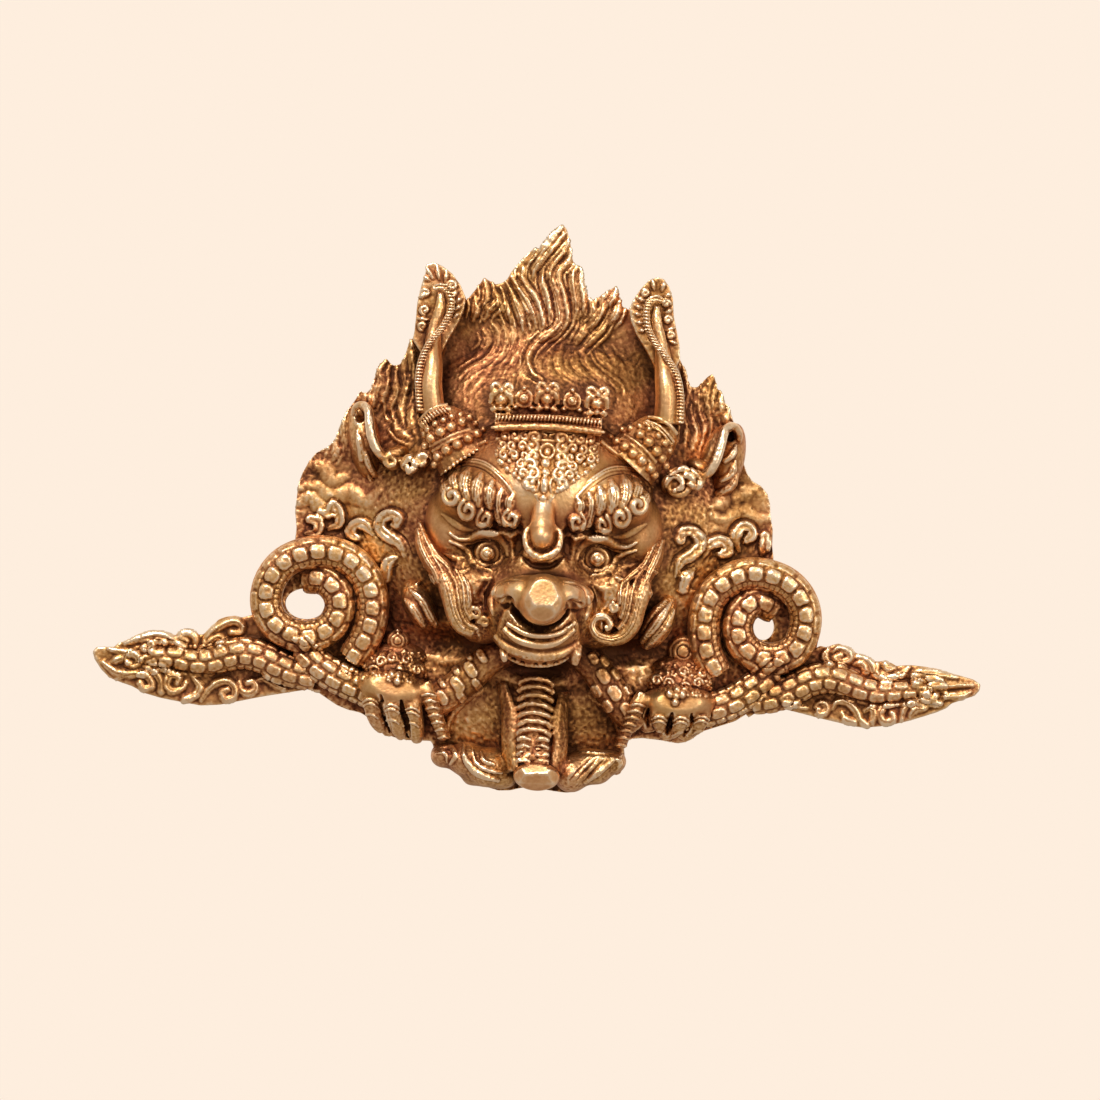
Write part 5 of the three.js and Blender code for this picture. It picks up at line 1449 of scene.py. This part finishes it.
KNUCKLE = [(-2.2, -1.1), (-1.2, -0.3), (0, 0), (1.2, -0.3), (2.2, -1.1)]
BETWEEN_FINGERS = [12.6, 11.6, 8.6, 6]
SEEDS = 110
PETALS = [(0, 0), (1.7, 0.4), (-1.7, 0.4), (0.2, 1.8), (-0.2, -1.7)]


def make_hand(side, back, fingers, thick, gaps, thumb, flower, swirls):
    """The hand of one side, closed on the serpent, with a flower and swirls on its cuff"""
    parts = [lump(*shape) for shape in back]
    parts.append(rod(thumb, [1.8, 2.2, 2.1, 1.9, 1.4]))
    parts += [rod(lowered(thumb, drop), 1.8) for drop in (2.5, 5, 7.5)]
    for finger in fingers:
        parts += [rod(finger, thick), rod(lowered(finger, 3), thick)]
    for gap in gaps:
        parts.append(rod([(x, z, proud) for (x, z), proud in zip(gap, BETWEEN_FINGERS)], 2.4))
    hand = fuse(f"hand_{side}", parts, 0.3)
    wax = Wax(hand)
    middle, top = back[0][:2]
    wax.facet(middle, top, 19.8, 0, -0.2, 11)
    wax.soften(middle, -89, 13, 4.4, 40)
    for gap in gaps:
        wax.groove(gap, 0.9, 2.4, ends=(0.5, 0.8))
    wax.push()
    for finger in fingers:
        x, z, _ = finger[1]
        for drop in (1.2, 2.4, 5.4):
            wax.ridge([(x + dx, z - drop + dz) for dx, dz in KNUCKLE], 0.45, 0.5, ends=(0.7, 0.7))
    for x, z in spline(flat(thumb), 1.9)[2:]:
        wax.ridge([(x - 1.9, z - 0.2), (x, z + 0.3), (x + 1.9, z - 0.2)], 0.5, 0.6, ends=(0.8, 0.8))
    x, z = flower
    for dx, dz in PETALS:
        wax.bead(x + dx, z + dz, 1.15, 1.5, "round")
    for x, z in swirls:
        wax.ridge(rolled(x, z, 1.4, 0, 1.1), 0.5, 1, ends=(0.8, 1), shape="round")
    seeds = np.random.default_rng(21)
    for x, z in seeds.uniform((middle - 9, -86.6), (middle + 9, -78), (SEEDS, 2)):
        wax.bead(x, z, seeds.uniform(0.35, 0.65), 0.5, "round")
    wax.push()
    wax.roughen(0.8, 0.14, 14, calm=[(middle, -89, 11, 3)])
    wax.push()
    cast(hand, 0.3)


make_hand("left", **LEFT_HAND)
make_hand("right", **RIGHT_HAND)


# Lower beak. It gapes below the head: two rough bowls of brass with thick rolled lips, and between them
# the tongue, a channel with arched ribs between two smooth walls. The tongue ends in a knob filed to flats.
RIB = [(-4.8, -1.3, -1.6), (-2.9, -0.1, -0.2), (0, 0.4, 0.6), (2.9, -0.1, -0.2), (4.8, -1.3, -1.6)]
RIBS = [-84.4, -86.6, -89, -91.4, -93.8, -96.1, -98.4]
SPLIT_RIBS = [-100.6, -102.7, -104.7, -106.6]
LEFT_WALL = [
    (-9.8, -86, 12), (-8.5, -89.4, 14.6), (-7.2, -94, 16.2), (-6.9, -100, 16.8), (-6.4, -105, 17),
    (-5.2, -110, 18),
]
RIGHT_WALL = [
    (8.2, -87.4, 12.6), (7.7, -91, 15), (7.3, -95, 16.4), (7.5, -100, 16.8), (7.4, -105, 17),
    (6.6, -110, 18),
]
BOWL_EDGE = [(-24.6, -101, 7), (-23.4, -96, 7.4), (-20, -91.6, 8), (-14.6, -88, 8), (-10.6, -86.4, 8)]
LIP_LUMPS = [
    (-25, -107, 5, 3.9, 3.7, 8, -10), (-18.6, -107.6, 7, 5.4, 5, 9, -20),
    (-12, -109.6, 8, 6.8, 5.8, 9.4, -16), (-8.6, -112.2, 6, 5, 3.6, 9, 0),
    (-15, -111.6, 4, 5, 3.4, 8, -28), (23, -106.4, 5, 3.6, 3.6, 8, 10), (16.6, -108, 7, 6.4, 5, 9, 26),
    (11.2, -110, 8, 5.4, 5.8, 9.4, 10), (19, -105.4, 7, 6, 2.4, 8.6, 4),
]
KNOB_FLATS = [
    (1.4, -108.8, 24.2, 0.1, -0.7, 6), (1.4, -111.4, 24.6, 0, 0.55, 6), (1.4, -113.4, 23.2, 0, 1.5, 6),
    (-3.2, -111.2, 23.8, 0.9, 0, 3.6), (6, -111.2, 23.8, -0.9, 0, 3.6),
]
LIP_LINES = [
    ([(-19.4, -103.4), (-18.8, -107.2), (-15.2, -110.9), (-9.4, -112.8)], 1, 1.3),
    ([(-17, -104.4), (-16, -107.9), (-12.8, -110), (-8.6, -110.7)], 0.7, 1),
    ([(-14.6, -105.2), (-13.4, -107.6), (-10.6, -108.6)], 0.7, 0.8),
    ([(-26.4, -104.6), (-23.4, -104.4), (-21.4, -106.6), (-22.8, -109)], 0.8, 0.9),
    ([(-27, -106.4), (-24.4, -106.4), (-23.8, -108.6)], 0.5, 0.7),
    ([(10.4, -103.6), (16.4, -103.6), (22.4, -103.8)], 0.7, 0.7),
    ([(25, -104.4), (21.6, -106.6), (18.4, -109.6), (15, -112.4)], 0.8, 0.8),
    ([(23.8, -108.6), (24.4, -106.2), (22, -105.2)], 0.6, 0.7),
]


def rib_height(z):
    """How far the tongue stands out; it rises towards its tip"""
    return 14 + (-84.6 - z) / 22 * 7.5


lips = fuse("lips", [lump(*shape) for shape in LIP_LUMPS], 0.5)
Wax(lips).soften(0, -108, 34, 13, 26)
parts = [
    lips, rod([(0, -84.6, 8), (0, -90, 9.4), (0, -97, 11.6), (0, -108, 14.6)], [4, 5, 5.4, 5.4]),
    rod([(0, -97, 8), (0, -108, 11)], 5.6),
    lump(1.4, -111.2, 19.6, 6.5, 4, 8.4),
    rod(BOWL_EDGE, [0.8, 1.2, 1.3, 1.2, 0.8]),
    rod(flipped(BOWL_EDGE, -1), 1.1),
]
for wall in (LEFT_WALL, RIGHT_WALL):
    outward = np.sign(wall[0][0])
    for step in (0, 1, 2):
        stepped = [(x + outward * (0.9 * step - 1), z, proud - 0.6 - 0.9 * step) for x, z, proud in wall]
        parts.append(rod(stepped, [0.7, 1, 1.1, 1.2, 1.2, 1]))
    parts += [rod(lowered(wall[1:], drop), [1.6, 2.2, 2.3, 2.3, 1.8]) for drop in (3, 7, 11)]
for z in RIBS:
    high = rib_height(z)
    parts.append(rod([(x, z + rise, high + lift) for x, rise, lift in RIB], [1, 0.8, 0.75, 0.8, 1]))
for z in SPLIT_RIBS:
    high = rib_height(z)
    for left, right in ((-4.4, -0.8), (0.8, 4.4)):
        parts.append(rod([(left, z - 0.6, high - 0.4), ((left + right) / 2, z, high + 0.6),
                          (right, z - 0.5, high)], 0.75))
beak = fuse("lower_beak", parts, 0.32)
wax = Wax(beak)
for x in (-7.6, 7.8):
    wax.soften(x, -98, 3, 13, 14)
for line, half, rise in LIP_LINES:
    wax.ridge(line, half, rise, ends=(0.3, 0.6), shape="round")
for x in (10.6, 12.6, 14.8):
    wax.groove([(x + 5.4, -105.4), (x, -112)], 0.6, 0.5)
wax.push()
for filed in KNOB_FLATS:
    wax.facet(*filed)
wax.roughen(0.8, 0.15, 15, calm=[(1.4, -111.4, 7, 4)])
wax.push()
cast(beak, 0.3)


# Patina. The finished casting is browned all over. The brown stays in the hollows, thickest in the deep
# ones, and is rubbed off the high places down to bright brass. Points that lie below their neighbours get
# painted shade. The list below holds places painted brighter or darker: x, z, half sizes, and how much
# brighter or darker they are. The brighter ones are wear and painted highlight, the darker ones, such as
# under the chin, beside the tongue and in the beak's bowls, are painted shade.

def blurred(field, reach):
    """Mean of a field of heights over a square of this many cells to each side"""
    for axis in (0, 1):
        padded = np.pad(field, [(reach + 1, reach) if i == axis else (0, 0) for i in (0, 1)], mode="edge")
        total = np.cumsum(padded, axis=axis)
        low = np.take(total, range(field.shape[axis]), axis=axis)
        high = np.take(total, range(2 * reach + 1, total.shape[axis]), axis=axis)
        field = (high - low) / (2 * reach + 1)
    return field


CELL = 0.7
WEST = -130
SOUTH = -121
WIDTH = 260
HEIGHT = 170


def cells(wax):
    """The cell of the height map under each point"""
    return ((wax.x - WEST) / CELL).astype(int), ((wax.z - SOUTH) / CELL).astype(int)


WEAR_AND_PAINTED_LIGHT_SPOTS = [
    (0, -33, 19, 9, 0.4), (0, -26, 28, 8, 0.25), (16, -31, 12, 8, 0.2), (26, -25, 6, 8, 0.4),
    (-35, -25, 6, 5, 0.4), (-47, -50, 11, 16, 0.36), (-57, -39, 14, 7, 0.36), (40, -60, 8, 12, 0.45),
    (46, -42, 8, 6, 0.3), (56, -40, 10, 5, 0.3), (18, -64, 7, 8, 0.5), (-18, -61, 7, 7, 0.36),
    (-50, -18, 7, 11, 0.4), (46, -18, 7, 11, 0.5), (-20, -98, 9, 8, 0.3), (29, -82, 6, 6, 0.5),
    (-36, 27, 6, 10, 0.3), (-4, 18, 9, 8, 0.25), (20, 18, 6, 9, 0.3), (-46, 2, 8, 9, -0.4),
    (44, 3, 8, 10, -0.45), (-19, 26, 9, 9, -0.35), (-21, 9, 8, 11, -0.3), (10, 7, 18, 9, -0.3),
    (-68, -28, 9, 8, -0.3), (18, -80, 9, 7, -0.4), (24, -95, 14, 8, -0.3), (-8, -93, 3, 10, -0.4),
    (8, -95, 4, 14, -0.4), (-8, -71, 6, 7, -0.25), (68, -80, 8, 9, -0.35), (-68, -79, 8, 6, -0.25),
    (26, -52, 6, 7, -0.35), (-22, -52, 7, 7, -0.3), (-2, -11, 16, 6, -0.25),
]


HOLLOWS = [(3, 0.10), (14, 0.28), (60, 0.7)]
PROUD = 22
THINNED = 0.5


def patina(piece, surroundings, around):
    """Store how deep in a hollow each point lies, how rubbed it is, with wear and painted light from the
    listed spots, and how far below its neighbours it lies, which is painted as shade. HOLLOWS are rounds of
    smoothing, each with the depth in mm that counts as a full hollow after it."""
    wax = Wax(piece)
    links = wax.links()
    flow = wax.place.copy()
    hollow = np.zeros(len(flow))
    done = 0
    for times, scale in HOLLOWS:
        while done < times:
            flow = (flow + wax.mean(flow, links)) / 2
            done += 1
        hollow += np.tanh(((flow - wax.place) * wax.normal).sum(1) / scale) / len(HOLLOWS)
    # Painted shade: the further a point lies below the mean height round it, the darker it is painted
    sunk = sum(np.clip((heights[cells(wax)] - wax.proud) / scale, 0, 1)
               for heights, scale in surroundings)
    high = np.clip((wax.proud - around[cells(wax)]) / PROUD, -1, 1)
    # Listed spots painted brighter or darker: wear and painted highlight where brighter, painted shade
    # where darker
    wear_and_painted_light = sum(gain * np.clip(1.4 - 1.4 * np.hypot((wax.x - x) / across, (wax.z - z) / up), 0, 1)
               for x, z, across, up, gain in WEAR_AND_PAINTED_LIGHT_SPOTS)
    rubbed = np.clip(0.42 * high - hollow, 0, 1) + wear_and_painted_light
    for name, values in (("hollow", np.clip(hollow, 0, 1)), ("rubbed", rubbed),
                         ("sunk", sunk / len(surroundings))):
        layer = piece.data.attributes.new(name, "FLOAT", "POINT")
        layer.data.foreach_set("value", values.astype(np.float32))
    worked(piece, "DECIMATE", ratio=THINNED)


castings = [piece for piece in bpy.context.scene.objects
            if piece.type == "MESH" and aged_brass.name in piece.data.materials]
relief = np.zeros((round(WIDTH / CELL), round(HEIGHT / CELL)))
for piece in castings:
    wax = Wax(piece)
    np.maximum.at(relief, cells(wax), wax.proud)
# Mean heights round each point at two reaches, for the painted shade of points that lie below their
# neighbours
surroundings = [(blurred(blurred(relief, reach), reach), scale) for reach, scale in ((2, 4), (6, 9))]
around = blurred(blurred(relief, 20), 20)
for piece in castings:
    patina(piece, surroundings, around)


# Studio. No part of the mask: a pale paper wall far behind it and a paper floor below, a large soft light
# above and to the left, and a weaker one at the right. Both papers glow evenly, so they take no shadow.

def soft_light(name, place, size, power, colour):
    """Round lamp aimed at the mask"""
    lamp = bpy.data.lights.new(name, "AREA")
    lamp.shape = "DISK"
    lamp.size = size
    lamp.energy = power
    lamp.color = colour
    light = placed(name, lamp)
    light.location = place
    aim = -light.location.normalized()
    light.rotation_euler = aim.to_track_quat("-Z", "Y").to_euler()


soft_light("key", (-0.35, -1.0, 1.0), 0.7, 17, (1, 0.96, 0.92))
soft_light("fill", (0.9, -1.1, 0.3), 0.8, 6, (1, 0.93, 0.85))

CREAM = (0.991, 0.855, 0.730, 1)
PAPER = 16
WALL = 2.6
FLOOR = -0.7
for name, place, turn, glow in (("wall", (0, WALL, 0), math.radians(90), 1),
                                ("floor", (0, 0, FLOOR), 0, 0.5)):
    bpy.ops.object.select_all(action="DESELECT")
    bpy.ops.mesh.primitive_plane_add(size=PAPER, location=place, rotation=(turn, 0, 0))
    sheet = bpy.context.object
    sheet.name = name
    paper = bpy.data.materials.new(name)
    paper.use_nodes = True
    surface = paper.node_tree.nodes["Principled BSDF"].inputs
    for key, value in (("Base Color", (0, 0, 0, 1)), ("Roughness", 1), ("Specular IOR Level", 0),
                       ("Emission Color", CREAM), ("Emission Strength", glow)):
        surface[key].default_value = value
    sheet.data.materials.append(paper)

world = bpy.data.worlds.new("studio")
world.use_nodes = True
sky = world.node_tree.nodes["Background"].inputs
sky["Color"].default_value = (1.0, 0.9, 0.8, 1)
sky["Strength"].default_value = 0.6
bpy.context.scene.world = world
bpy.context.scene.view_settings.view_transform = "Standard"
